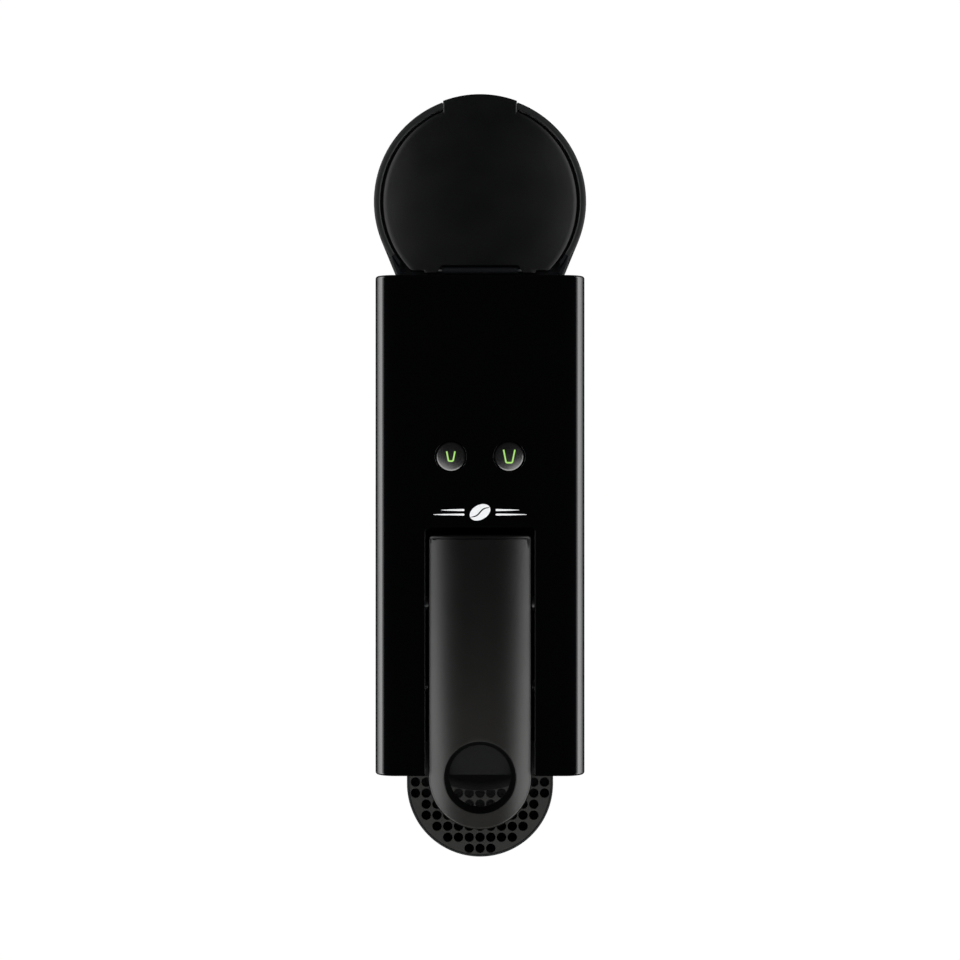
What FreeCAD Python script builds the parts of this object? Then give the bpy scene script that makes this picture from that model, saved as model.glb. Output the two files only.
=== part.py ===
"""Pod coffee machine: a narrow body with a lever on top, a water tank behind and a drip tray in front.

Frame: millimetres, +X to the right seen from the front, +Y to the rear, +Z up.
Origin: on the table, under the middle of the machine's outline.
"""

import FreeCAD
import Part

import math
import os

V = FreeCAD.Vector
OUT = "parts"

# ---------------------------------------------------------------- driving dimensions
WIDTH = 84.0                # across the casing
HEIGHT = 204.0              # table to casing top
BODY_FRONT = -107.5
BODY_REAR = 92.5
SHELL = 2.4                 # casing wall
CORNER = 8.3                # casing top corner, outside
EDGE = 0.2                  # rounding of the slot's and the button holes' edges
END_ROUND = 1.1             # rounding round the casing's front and rear ends
SKIRT = 8.0                 # underside of the casing sides
GAP = 0.2                   # between fitted plastic parts

COVER_FRONT = -106.3        # the front cover's face
COVER_T = 2.0
REAR_COVER_Y = 88.5
REAR_COVER_T = 2.5
VENTS = 6                   # slots in the rear cover
VENT_PITCH = 6.0

RECESS_TOP = 130.0          # underside of the overhanging head
RECESS_BACK = -76.0         # front edge of the casing below the head
RECESS_ROUND = 30.0         # concave round between the two

SLOT_HALF = 21.9            # lever slot in the casing top
SLOT_REAR = -8.3
WELL_FLOOR = 191.0

LEVER_HALF = 20.75
LEVER_REAR = -11.2
LEVER_LOOP_Y = -108.1       # centre of the round front end
LEVER_BOTTOM = 196.5
LEVER_FLAT = 5.0            # half width of the top's flat middle
LEVER_ROLL = 45.0           # radius of the arcs that fall from it to the sides
LOOP_TOP_R = 14.25
LOOP_LOW_R = 12.4
PIVOT_Y = -40.0
PIVOT_Z = 174.0
PIVOT_R = 3.0
CHEEK_IN = 18.0             # the lever's side plates, from the middle
CHEEK_OUT = 20.6
LEVER_SWING = 90.0          # degrees from closed to open

WALL_IN = 23.6              # the brew frame's side walls, from the middle
WALL_OUT = 26.8
FRAME_TOP = 186.0
BREW_Z = 162.0              # axis of the capsule
PLATE_FACE = -92.0          # face of the extraction plate
CAGE_REAR = -58.0
CAGE_R = 16.7
CAGE_LIP_R = 17.6
CAPSULE_R = 15.2
PIN_Y = -75.0               # cage pins, closed
PIN_R = 2.5
CAGE_STROKE = 30.0

NOSE_APEX = -117.3
NOSE_R = 39.0
NOSE_HALF = 19.5
NOSE_TOP = 176.0
SPOUT_Y = -111.0
SPOUT_TIP = 122.0
SPOUT_Z = 150.0             # the duct's level part
NOSE_WALL = 1.8
NOSE_BROW = 4.0             # rounding along the nose's top front edge

DECK_Z = 134.0
DECK_T = 3.0
BULKHEAD_Y = -15.5

TRAY_Y = -131.0             # centre of the round front of the tray
TRAY_R = 34.1
TRAY_REAR = -83.4
TRAY_BOTTOM = 1.2
TRAY_TOP = 42.0
HOLE_R = 2.24
HOLE_PITCH_X = 5.02
HOLE_PITCH_Y = 5.15
HOLE_LIMIT = 30.7           # furthest hole centre from the tray's centre

BIN_APEX = -82.0
BIN_FRONT_R = 120.0
BIN_HALF = 33.0
BIN_REAR = -19.0
BIN_BOTTOM = 6.6
BIN_TOP = 109.5

TANK_Y = 122.1
TANK_R = 42.5
TANK_FRONT = 93.1
TANK_TAPER = math.radians(28.5)   # the sides close in towards the body
TANK_BOTTOM = 48.0
TANK_TOP = 200.0
TANK_WALL = 2.0
LID_R = 39.1
LID_GAP = 0.9               # between the lid and the tank's rim
LID_UNDER = 196.9
LID_CROWN = 300.0           # radius of the lid's top, across X
LID_RISE = 0.8              # how far its middle stands over the rim
HINGE_Y = 94.6
HINGE_Z = 198.6
KNUCKLE_R = 1.4
HINGE_PIN_R = 0.6
HINGE_HALF = 15.2           # half length of the tank's knuckle
VALVE_Y = 108.0
PEDESTAL_TOP = 47.6

BUTTON_X = 11.65
BUTTON_Y = 20.0
BUTTON_HOLE_R = 6.3
BUTTON_R = 6.0
BUTTON_DOME = 150.0         # radius of the dome that both caps are cut from
BUTTON_RISE = 0.5           # the dome's top above the casing
BUTTON_APEX_Y = 34.0
BOARD_Z = 190.0
STEM_R = 3.1
CAP_DEPTH = 4.0
SIGN_STROKE = 0.62
SIGN_DEPTH = 2.4

PUMP_Y0, PUMP_Y1 = 16.0, 75.0
PUMP_Z = 44.0
BLOCK_Y0, BLOCK_Y1 = 22.0, 82.0
PIPE_Z = 152.0               # the block's two pipe stubs
RISER_Y = 8.0               # the hose that climbs from the pump to the block
BLOCK_Z0, BLOCK_Z1 = 144.0, 178.0
METER_X, METER_Y = -22.0, 73.0
PORT_X = METER_X + 6         # the meter's inlet
PORT_Z = 15.0
GLAND_Z = 20.0
HOSE_PASS = 4.6             # radius of the holes that hoses go through
MAIN_BOARD_X = 33.0
HOSE_R = 3.9
HOSE_BORE = 3.0
SMALL = 0.05                # running clearance on a radius
PLAY = 0.3                  # clearance between faces that slide past each other

PEDESTAL_POSTS = [(24, 122), (-24, 122), (0, 148)]
FEET = [(31, -64), (-31, -64), (20, 146), (-20, 146)]
HOSE_HOLES = [(0, RISER_Y), (-9.6, 3.0), (22, 80)]
FRAME_SCREWS = [(30, -88), (-30, -88), (30, -26), (-30, -26)]
GLYPHS = {1: (5.2, 5.5), -1: (4.0, 4.2)}      # wide and tall: the large cup is on the right


# ---------------------------------------------------------------- helpers
def box(x0, x1, y0, y1, z0, z1):
    return Part.makeBox(x1 - x0, y1 - y0, z1 - z0, V(x0, y0, z0))


def rod_x(radius, x0, x1, y, z):
    return Part.makeCylinder(radius, x1 - x0, V(x0, y, z), V(1, 0, 0))


def rod_y(radius, y0, y1, x, z):
    return Part.makeCylinder(radius, y1 - y0, V(x, y0, z), V(0, 1, 0))


def rod_z(radius, z0, z1, x, y):
    return Part.makeCylinder(radius, z1 - z0, V(x, y, z0), V(0, 0, 1))


def both_sides(make):
    """make(sign) for the right-hand side and the left-hand side."""
    return [make(1), make(-1)]


def join(*shapes):
    solid = shapes[0].fuse(list(shapes[1:]))
    return solid.removeSplitter()


def arc(start, middle, end):
    return Part.Arc(start, middle, end).toShape()


def line(start, end):
    return Part.LineSegment(start, end).toShape()


def plate(edges, travel):
    """The solid swept by the face inside edges."""
    return Part.Face(Part.Wire(edges)).extrude(travel)


def polygon(points, travel):
    return plate([line(a, b) for a, b in zip(points, points[1:] + points[:1])], travel)


def soften(solid, radius, chosen):
    """Rounds the edges whose middle passes chosen."""
    edges = [e for e in solid.Edges if chosen(e.valueAt((e.FirstParameter + e.LastParameter) / 2), e)]
    return solid.makeFillet(radius, edges)


def near(a, b, slack=0.02):
    return abs(a - b) < slack


def upright(edge):
    """True for a straight edge along Z."""
    box_ = edge.BoundBox
    return box_.XLength < 0.01 and box_.YLength < 0.01


def save(name, *solids):
    shape = solids[0] if len(solids) == 1 else Part.makeCompound(list(solids))
    shape.exportStep(os.path.join(OUT, name + ".step"))


# ---------------------------------------------------------------- outlines that several parts share
def arch(inset, y0, y1, low):
    """The casing's section, moved inwards by inset: straight sides, flat top, round top corners."""
    half, top, r = WIDTH / 2 - inset, HEIGHT - inset, CORNER - inset
    slant = r * math.sqrt(0.5)
    right_mid = V(half - r + slant, y0, top - r + slant)
    left_mid = V(-half + r - slant, y0, top - r + slant)
    edges = [
        line(V(-half, y0, low), V(-half, y0, top - r)),
        arc(V(-half, y0, top - r), left_mid, V(-half + r, y0, top)),
        line(V(-half + r, y0, top), V(half - r, y0, top)),
        arc(V(half - r, y0, top), right_mid, V(half, y0, top - r)),
        line(V(half, y0, top - r), V(half, y0, low)),
        line(V(half, y0, low), V(-half, y0, low)),
    ]
    return plate(edges, V(0, y1 - y0, 0))


def head_recess(grow, half):
    """The space under the head, its walls moved outwards by grow: a box with one concave round."""
    back, top = RECESS_BACK + grow, RECESS_TOP + grow
    cy, cz = RECESS_BACK - RECESS_ROUND, RECESS_TOP - RECESS_ROUND
    r = RECESS_ROUND + grow
    slant = r * math.sqrt(0.5)
    front = BODY_FRONT - 20
    edges = [
        line(V(-half, front, -5), V(-half, back, -5)),
        line(V(-half, back, -5), V(-half, back, cz)),
        arc(V(-half, back, cz), V(-half, cy + slant, cz + slant), V(-half, cy, top)),
        line(V(-half, cy, top), V(-half, front, top)),
        line(V(-half, front, top), V(-half, front, -5)),
    ]
    return plate(edges, V(2 * half, 0, 0))


def tank_outline(inset, z0, z1):
    """A circle whose sides run off at a tangent to a flat front, moved inwards by inset."""
    r, front = TANK_R - inset, TANK_FRONT + inset
    tx, ty = r * math.cos(TANK_TAPER), TANK_Y - r * math.sin(TANK_TAPER)
    corner = tx - (ty - front) * math.tan(TANK_TAPER)
    edges = [
        line(V(-corner, front, z0), V(corner, front, z0)),
        line(V(corner, front, z0), V(tx, ty, z0)),
        arc(V(tx, ty, z0), V(0, TANK_Y + r, z0), V(-tx, ty, z0)),
        line(V(-tx, ty, z0), V(-corner, front, z0)),
    ]
    return plate(edges, V(0, 0, z1 - z0))


def d_shape(radius, y_centre, rear, z0, z1):
    """A half round front with straight sides that run back to rear."""
    edges = [
        line(V(radius, y_centre, z0), V(radius, rear, z0)),
        line(V(radius, rear, z0), V(-radius, rear, z0)),
        line(V(-radius, rear, z0), V(-radius, y_centre, z0)),
        arc(V(-radius, y_centre, z0), V(0, y_centre - radius, z0), V(radius, y_centre, z0)),
    ]
    return plate(edges, V(0, 0, z1 - z0))


def hose(points, radius, bore):
    """A tube along straight runs joined by tangent arcs, each as large as its two runs allow."""
    corners = [V(*p) for p in points]
    edges, start = [], corners[0]
    for before, corner, after in zip(corners, corners[1:], corners[2:]):
        inward, outward = (corner - before).normalize(), (after - corner).normalize()
        turn = inward.getAngle(outward)
        reach = 0.45 * min((corner - before).Length, (after - corner).Length)
        first, last = corner - inward * reach, corner + outward * reach
        bend = reach / math.tan(turn / 2)
        centre = corner + (outward - inward).normalize() * (bend / math.cos(turn / 2))
        middle = centre + (corner - centre).normalize() * bend
        if (first - start).Length > 0.01:
            edges.append(line(start, first))
        edges.append(arc(first, middle, last))
        start = last
    edges.append(line(start, corners[-1]))
    path = Part.Wire(edges)
    heading = (corners[1] - corners[0]).normalize()

    def pipe(r):
        ring = Part.Wire([Part.makeCircle(r, corners[0], heading)])
        return path.makePipeShell([ring], True, True)

    return pipe(radius).cut(pipe(bore)) if bore else pipe(radius)


def spring(radius, wire, z0, z1, turns, x, y):
    """A round wire coil that stands along Z."""
    helix = Part.makeHelix((z1 - z0 - 2 * wire) / turns, z1 - z0 - 2 * wire, radius)
    helix.translate(V(x, y, z0 + wire))
    start = V(x + radius, y, z0 + wire)
    ring = Part.Wire([Part.makeCircle(wire, start, V(0, 1, 0))])
    return Part.Wire(helix.Edges).makePipeShell([ring], True, True)


# ---------------------------------------------------------------- casing and covers
def outer_casing():
    """One wrapped shell: two sides and the top, with the lever slot, the button holes and the recess."""
    shell = arch(0, BODY_FRONT, BODY_REAR, SKIRT)
    shell = soften(shell, END_ROUND, lambda p, e: (near(p.y, BODY_FRONT) or near(p.y, BODY_REAR))
                   and not near(p.z, SKIRT))
    shell = shell.cut(arch(SHELL, BODY_FRONT - 5, BODY_REAR + 5, SKIRT - 5))
    shell = shell.cut(head_recess(0, WIDTH))
    slot = box(-SLOT_HALF, SLOT_HALF, BODY_FRONT - 5, SLOT_REAR, HEIGHT - 10, HEIGHT + 5)
    slot = soften(slot, 2.0, lambda p, e: near(p.y, SLOT_REAR) and upright(e))
    shell = shell.cut(slot)
    for side in (1, -1):
        shell = shell.cut(rod_z(BUTTON_HOLE_R, HEIGHT - 10, HEIGHT + 5, side * BUTTON_X, BUTTON_Y))
    in_slot = box(-SLOT_HALF - 1, SLOT_HALF + 1, BODY_FRONT + 2, BUTTON_Y + 10, HEIGHT - 1, HEIGHT + 1)
    return soften(shell, EDGE, lambda p, e: near(p.z, HEIGHT) and in_slot.isInside(p, 0.01, True))


def front_cover():
    """The panel between the casing sides, open above for the lever well and in the middle for the outlet."""
    sheet = arch(SHELL + GAP, COVER_FRONT, COVER_FRONT + COVER_T, RECESS_TOP + 2.8)
    sheet = sheet.cut(box(-23.5, 23.5, -110, -100, 188.7, HEIGHT))
    return sheet.cut(box(-14, 14, -110, -100, 138, 170))


def throat_panel():
    """The curved panel under the head, which is also the ramp that used capsules slide down."""
    half = WIDTH / 2 - SHELL - GAP
    panel = head_recess(2.4, half).cut(head_recess(0.4, half + 5))
    keep = box(-half, half, COVER_FRONT, RECESS_BACK + 5, BIN_TOP + 1.5, RECESS_TOP + 5)
    return panel.common(keep)


def rear_cover():
    """The wall between body and tank, with cooling slots above and a hole for the suction hose."""
    wall = arch(SHELL + GAP, REAR_COVER_Y, REAR_COVER_Y + REAR_COVER_T, 6.2)
    for row in range(VENTS):
        z = 150 + VENT_PITCH * row
        wall = wall.cut(box(-24, 24, 85, 95, z, z + 2.2))
    return wall.cut(rod_y(HOSE_PASS, 85, 95, PORT_X, PORT_Z))


def base_chassis():
    """The floor under body and tank, with low side walls and two rails that guide the capsule bin."""
    half = WIDTH / 2 - SHELL - 0.4
    floor = join(box(-half, half, -73.6, TANK_FRONT + 5, 3, 6), tank_outline(1.2, 3, 6))
    walls = both_sides(lambda s: box(*sorted((s * half, s * (half - 2.4))), -73.6, 87.0, 6, 24))
    solid = join(floor, *walls)
    for x, y in PEDESTAL_POSTS:
        solid = solid.cut(rod_z(1.6, 2, 8, x, y)).cut(rod_z(3.1, 2, 4.4, x, y))
    return solid


def tank_pedestal():
    """The hollow foot that the tank stands on, with the well that takes the tank's valve."""
    shell = tank_outline(0.9, 6, PEDESTAL_TOP).cut(tank_outline(3.1, 0, PEDESTAL_TOP - 2.6))
    posts = [rod_z(4, 6, PEDESTAL_TOP - 2.6, x, y) for x, y in PEDESTAL_POSTS]
    well = rod_z(11.4, 34, PEDESTAL_TOP, 0, VALVE_Y)
    nipple = rod_z(3.0, 26, 34, 0, VALVE_Y)
    solid = join(shell, *posts, well, nipple)
    solid = solid.cut(rod_z(9.4, 37, PEDESTAL_TOP + 1, 0, VALVE_Y))
    solid = solid.cut(rod_z(1.6, 25, 38, 4.5, VALVE_Y)).cut(rod_z(1.6, 25, 35, 0, VALVE_Y))
    for x, y in PEDESTAL_POSTS:
        solid = solid.cut(rod_z(1.4, 5, 22, x, y))
    solid = solid.cut(rod_y(5.2, 158, 170, 0, GLAND_Z))
    solid = join(solid, rod_z(1.4, 36.9, 40.9, 0, VALVE_Y))
    return solid.cut(rod_y(HOSE_PASS, 90, 100, PORT_X, PORT_Z))


def head_deck():
    """The floor of the head, with the opening that lets a capsule drop."""
    half = WIDTH / 2 - SHELL - 0.3
    deck = box(-half, half, -104.0, 88.0, DECK_Z, DECK_Z + DECK_T)
    deck = deck.cut(box(-21, 21, -93.5, -57, DECK_Z - 1, DECK_Z + 5))
    deck = deck.cut(box(-7, 7, -60, -20, DECK_Z - 1, DECK_Z + 5))
    for x, y in HOSE_HOLES:
        deck = deck.cut(rod_z(HOSE_PASS, DECK_Z - 1, DECK_Z + 5, x, y))
    for x, y in FRAME_SCREWS:
        deck = deck.cut(rod_z(1.4, DECK_Z - 1, DECK_Z + 5, x, y))
    return deck


def bulkhead():
    """The cross wall between the capsule bin and the pump."""
    half = WIDTH / 2 - SHELL - 0.5
    wall = box(-half, half, BULKHEAD_Y, BULKHEAD_Y + 2.5, 6, DECK_Z)
    for s in (1, -1):
        wall = wall.cut(box(*sorted((s * 36.4, s * 42)), -20, -10, 5, 24.3))
    return wall.cut(rod_y(HOSE_PASS, -20, -10, 0, 122))


def lever_well():
    """The channel under the lever: two side walls, and a floor only at the front."""
    floor = box(-22.2, 22.2, -108.4, -95.0, WELL_FLOOR - 2, WELL_FLOOR)
    walls = both_sides(lambda s: box(*sorted((s * 22.0, s * 23.3)), COVER_FRONT, -9.0, 188.9, 201.4))
    return join(floor, *walls)


# ---------------------------------------------------------------- lever
def lever_blank(inset, z0, z1):
    """The lever's outline, moved inwards by inset: a bar with a round front end."""
    r = LEVER_HALF - inset
    return d_shape(r, LEVER_LOOP_Y, LEVER_REAR - inset, z0, z1)


def lever_crown():
    """The room under the lever's top: flat along the middle, with an arc down to each side."""
    half, low, back = LEVER_HALF + 3, LEVER_BOTTOM - 5, -160
    middle = (LEVER_FLAT + half) / 2

    def top(x):
        out = abs(x) - LEVER_FLAT
        return V(x, back, HEIGHT - LEVER_ROLL + math.sqrt(LEVER_ROLL * LEVER_ROLL - out * out))

    edges = [
        line(V(-half, back, low), top(-half)),
        arc(top(-half), top(-middle), top(-LEVER_FLAT)),
        line(top(-LEVER_FLAT), top(LEVER_FLAT)),
        arc(top(LEVER_FLAT), top(middle), top(half)),
        line(top(half), V(half, back, low)),
        line(V(half, back, low), V(-half, back, low)),
    ]
    return plate(edges, V(0, 200, 0))


def loop_hole():
    """The finger hole: a cone at the top that turns into a straight bore."""
    cone_low = HEIGHT - 6.4
    centre = V(0, LEVER_LOOP_Y, cone_low)
    cone = Part.makeCone(LOOP_LOW_R, LOOP_TOP_R, HEIGHT - cone_low, centre)
    mouth = rod_z(LOOP_TOP_R, HEIGHT - 0.001, HEIGHT + 2, 0, LEVER_LOOP_Y)
    return join(cone, rod_z(LOOP_LOW_R, LEVER_BOTTOM - 5, cone_low + 0.001, 0, LEVER_LOOP_Y), mouth)


def lever_cover():
    """The visible skin: crowned across its width, with a skirt all round and round the finger hole."""
    skin = lever_blank(0, LEVER_BOTTOM, HEIGHT + 0.5).common(lever_crown())
    creases = LEVER_FLAT
    skin = soften(skin, 0.9, lambda p, e: p.z > HEIGHT - 4 and not upright(e) and not near(abs(p.x), creases))
    pocket = lever_blank(1.9, LEVER_BOTTOM - 1, HEIGHT - 3.4)
    pocket = pocket.cut(rod_z(LOOP_LOW_R + 1.8, 0, HEIGHT, 0, LEVER_LOOP_Y))
    return skin.cut(pocket).cut(loop_hole())


def in_lever_frame(angle):
    """Where the cage pin sits beside the pivot, (forward, up), in the lever's own frame at that angle."""
    share = angle / math.radians(LEVER_SWING)
    forward = (PIVOT_Y - PIN_Y) - CAGE_STROKE * share
    up = BREW_Z - PIVOT_Z
    c, s = math.cos(angle), math.sin(angle)
    return forward * c + up * s, up * c - forward * s


def cam_curve(first, last, count=9):
    """The cam's centre line as points in the YZ plane, with the lever closed."""
    angles = [math.radians(first + (last - first) * i / (count - 1)) for i in range(count)]
    pairs = [in_lever_frame(a) for a in angles]
    return [V(0, PIVOT_Y - f, PIVOT_Z + u) for f, u in pairs]


def cam_band(half, start_angle, end_angle, x0, x1):
    """A band of the given half width along the cam curve, with round ends."""
    points = cam_curve(start_angle, end_angle)
    curve = Part.BSplineCurve()
    curve.interpolate(points)
    edge = curve.toShape()
    left, right = [], []
    for i in range(13):
        t = edge.FirstParameter + (edge.LastParameter - edge.FirstParameter) * i / 12
        tangent = edge.tangentAt(t).normalize()
        side = V(0, -tangent.z, tangent.y) * half
        left.append(edge.valueAt(t) + side)
        right.append(edge.valueAt(t) - side)
    one, other = Part.BSplineCurve(), Part.BSplineCurve()
    one.interpolate(left)
    other.interpolate(right)
    ends = []
    last, first = edge.LastParameter, edge.FirstParameter
    for t, a, b, sign in ((last, left[-1], right[-1], 1), (first, right[0], left[0], -1)):
        tip = edge.valueAt(t) + edge.tangentAt(t).normalize() * (half * sign)
        ends.append(arc(a, tip, b))
    wire = Part.Wire(Part.__sortEdges__([one.toShape(), ends[0], other.toShape(), ends[1]]))
    band = Part.Face(wire).extrude(V(x1 - x0, 0, 0))
    band.translate(V(x0, 0, 0))
    return band


def lever_cheek(side):
    """A side plate of the lever: it turns on the pivot and its curved slot drives the cage pin."""
    x0, x1 = sorted((side * CHEEK_IN, side * CHEEK_OUT))
    body = cam_band(PIN_R + 4.2, 0, LEVER_SWING, x0, x1)
    hub = rod_x(8.0, x0, x1, PIVOT_Y, PIVOT_Z)
    profile = [(-78, 196.2), (-14, 196.2), (-14, 190), (-32, 172), (-48, 158), (-66, 160), (-80, 168)]
    web = polygon([V(x0, y, z) for y, z in profile], V(x1 - x0, 0, 0))
    solid = join(body, hub, web)
    solid = solid.cut(cam_band(PIN_R + PLAY, 0, LEVER_SWING, x0 - 1, x1 + 1))
    return solid.cut(rod_x(PIVOT_R + SMALL, x0 - 1, x1 + 1, PIVOT_Y, PIVOT_Z))


def lever_arm():
    """The load-bearing part under the skin: a ring round the finger hole, a beam and two side plates."""
    tongue = lever_blank(2.1, LEVER_BOTTOM + 0.3, HEIGHT - 3.6)
    tongue = tongue.cut(rod_z(LOOP_LOW_R + 2.0, 0, HEIGHT, 0, LEVER_LOOP_Y))
    beam = box(-CHEEK_OUT, CHEEK_OUT, -78.0, LEVER_REAR - 0.3, 193.4, LEVER_BOTTOM - 0.1)
    neck = box(-CHEEK_IN, CHEEK_IN, -78.0, LEVER_REAR - 3, LEVER_BOTTOM - 0.2, LEVER_BOTTOM + 0.4)
    return join(tongue, neck, beam, *both_sides(lever_cheek))


def lever_pivots():
    return both_sides(lambda s: rod_x(PIVOT_R, *sorted((s * 17.6, s * 27.4)), PIVOT_Y, PIVOT_Z))


# ---------------------------------------------------------------- brew unit
def brew_frame():
    """Two side walls tied by a front block; straight slots guide the cage pins."""
    def wall(side):
        x0, x1 = sorted((side * WALL_IN, side * WALL_OUT))
        sheet = box(x0, x1, -100.5, -20, DECK_Z + DECK_T, FRAME_TOP)
        sheet = soften(sheet, 8, lambda p, e: near(p.y, -20) and near(p.z, FRAME_TOP))
        foot = box(*sorted((side * WALL_IN, side * 34)), -96, -20, DECK_Z + DECK_T, 140)
        sheet = join(sheet, foot)
        run = box(x0 - 1, x1 + 1, PIN_Y, PIN_Y + CAGE_STROKE, BREW_Z - PIN_R - PLAY, BREW_Z + PIN_R + PLAY)
        ends = [rod_x(PIN_R + PLAY, x0 - 1, x1 + 1, y, BREW_Z) for y in (PIN_Y, PIN_Y + CAGE_STROKE)]
        sheet = sheet.cut(join(run, *ends))
        return sheet.cut(rod_x(PIVOT_R, x0 - 1, x1 + 1, PIVOT_Y, PIVOT_Z))

    block = box(-WALL_IN, WALL_IN, -100.5, -95.2, DECK_Z + DECK_T, FRAME_TOP)
    tie = box(-WALL_IN, WALL_IN, -54, -22, DECK_Z + DECK_T, 140).cut(box(-7, 7, -56, -20, 130, 145))
    frame = join(block, tie, *both_sides(wall))
    frame = frame.cut(rod_y(5.2, -105, -94, 0, SPOUT_Z))
    for x, y in FRAME_SCREWS:
        frame = frame.cut(rod_z(1.6, 130, 145, x, y))
    return frame


def capsule_cage():
    """The cup that holds the capsule: a thick front lip and a closed back."""
    body = rod_y(CAGE_R, PLATE_FACE + 1.6, CAGE_REAR, 0, BREW_Z)
    lip = rod_y(CAGE_LIP_R, PLATE_FACE + 1.6, PLATE_FACE + 5.2, 0, BREW_Z)
    cup = join(body, lip)
    cup = cup.cut(rod_y(CAPSULE_R, PLATE_FACE, CAGE_REAR - 3.6, 0, BREW_Z))
    cup = cup.cut(rod_x(PIN_R, -30, 30, PIN_Y, BREW_Z).cut(box(-13.5, 13.5, -90, -50, 150, 170)))
    cup = cup.cut(rod_y(2.0, CAGE_REAR - 5, CAGE_REAR + 1, 0, BREW_Z))
    inlet = join(rod_z(3.0, 140.5, BREW_Z - 15, 0, CAGE_REAR - 2.5), rod_z(1.5, 136.5, 141, 0, CAGE_REAR - 2.5))
    return join(cup, inlet).cut(rod_z(0.9, 130, BREW_Z - 1, 0, CAGE_REAR - 2.5))


def cage_pins():
    return both_sides(lambda s: rod_x(PIN_R, *sorted((s * 15.6, s * 27.2)), PIN_Y, BREW_Z))


def piercing_plate():
    """A steel disc in the bottom of the cage with three needles that open the capsule."""
    disc = rod_y(13.0, CAGE_REAR - 5.2, CAGE_REAR - 3.6, 0, BREW_Z)
    needles = []
    for i in range(3):
        a = math.radians(90 + 120 * i)
        tip = V(7 * math.cos(a), CAGE_REAR - 5.2, BREW_Z + 7 * math.sin(a))
        needles.append(Part.makeCone(1.3, 0.2, 5.0, tip, V(0, -1, 0)))
    plate_ = join(disc, *needles)
    return plate_.cut(rod_y(1.2, CAGE_REAR - 12, CAGE_REAR, 0, BREW_Z))


def extraction_plate():
    """A disc with a grid of small pyramids that tear the capsule's foil."""
    disc = rod_y(17.0, PLATE_FACE - 3, PLATE_FACE, 0, BREW_Z)
    points = []
    for i in range(-3, 4):
        for k in range(-3, 4):
            x, z = 3.4 * i, BREW_Z + 3.4 * k
            if math.hypot(3.4 * i, 3.4 * k) < 12.5:
                points.append(pyramid(x, z))
    solid = join(disc, *points)
    return solid.cut(rod_y(2.0, PLATE_FACE - 5, PLATE_FACE + 5, 0, SPOUT_Z))


def pyramid(x, z):
    """A blunt square pyramid that stands on the extraction plate's face."""
    base = Part.makePolygon([V(x + a, PLATE_FACE - 0.1, z + b)
                             for a, b in ((1.2, 1.2), (-1.2, 1.2), (-1.2, -1.2), (1.2, -1.2), (1.2, 1.2))])
    tip = Part.makePolygon([V(x + a, PLATE_FACE + 1.0, z + b)
                            for a, b in ((0.3, 0.3), (-0.3, 0.3), (-0.3, -0.3), (0.3, -0.3), (0.3, 0.3))])
    return Part.makeLoft([base, tip], True)


def plate_seal():
    ring = rod_y(19.4, PLATE_FACE, PLATE_FACE + 1.4, 0, BREW_Z)
    return ring.cut(rod_y(16.2, PLATE_FACE - 1, PLATE_FACE + 3, 0, BREW_Z))


def coffee_spout():
    """The duct from the extraction plate to the drip point."""
    feed = rod_y(4.5, SPOUT_Y, PLATE_FACE - 3, 0, SPOUT_Z)
    drop = rod_z(4.0, SPOUT_TIP, 156, 0, SPOUT_Y)
    solid = join(feed, drop)
    bore = join(rod_y(2.4, SPOUT_Y, -94, 0, SPOUT_Z), rod_z(2.7, SPOUT_TIP - 1, SPOUT_Z + 3.5, 0, SPOUT_Y))
    return solid.cut(bore)


def outlet_nose():
    """The curved hood in front of the spout: closed on top, open below and behind."""
    def hood(inset, z0, z1):
        half, r = NOSE_HALF - inset, NOSE_R - inset
        cy = NOSE_APEX + NOSE_R
        y_side = cy - math.sqrt(r * r - half * half)
        edges = [
            line(V(-half, -106.6, z0), V(half, -106.6, z0)),
            line(V(half, -106.6, z0), V(half, y_side, z0)),
            arc(V(half, y_side, z0), V(0, cy - r, z0), V(-half, y_side, z0)),
            line(V(-half, y_side, z0), V(-half, -106.6, z0)),
        ]
        return plate(edges, V(0, 0, z1 - z0))

    outer = hood(0, 128.0, NOSE_TOP)
    outer = soften(outer, 2.2, lambda p, e: upright(e) and p.y < -107)
    outer = soften(outer, NOSE_BROW, lambda p, e: near(p.z, NOSE_TOP) and p.y < -107)
    inner = hood(NOSE_WALL, 120.0, NOSE_TOP - NOSE_WALL)
    open_half = NOSE_HALF - NOSE_WALL
    behind = box(-open_half, open_half, -110, -100, 120, NOSE_TOP - NOSE_WALL)
    return outer.cut(inner).cut(behind)


# ---------------------------------------------------------------- bin, tray and grid
def capsule_bin():
    """The drawer for used capsules: a box behind a gently bowed front, and a ledge that carries the tray."""
    half = WIDTH / 2 - SHELL - 0.4
    shell = box(-BIN_HALF, BIN_HALF, -74, BIN_REAR, BIN_BOTTOM, BIN_TOP)
    front = rod_z(BIN_FRONT_R, 8.0, BIN_TOP, 0, BIN_APEX + BIN_FRONT_R)
    front = front.common(box(-half, half, -90, -74.0, 0, 120))
    inside = box(-BIN_HALF + 1.8, BIN_HALF - 1.8, -77.0, BIN_REAR - 1.8, BIN_BOTTOM + 1.8, BIN_TOP + 1)
    ledge = box(-19, 19, -97, -76, 3.2, 6.2)
    rise = box(-19, 19, -80, -76, 3.2, 9.0)
    grip = rod_x(9, -16, 16, -86.5, 96)
    return join(shell, front, ledge, rise).cut(inside).cut(grip)


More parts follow.
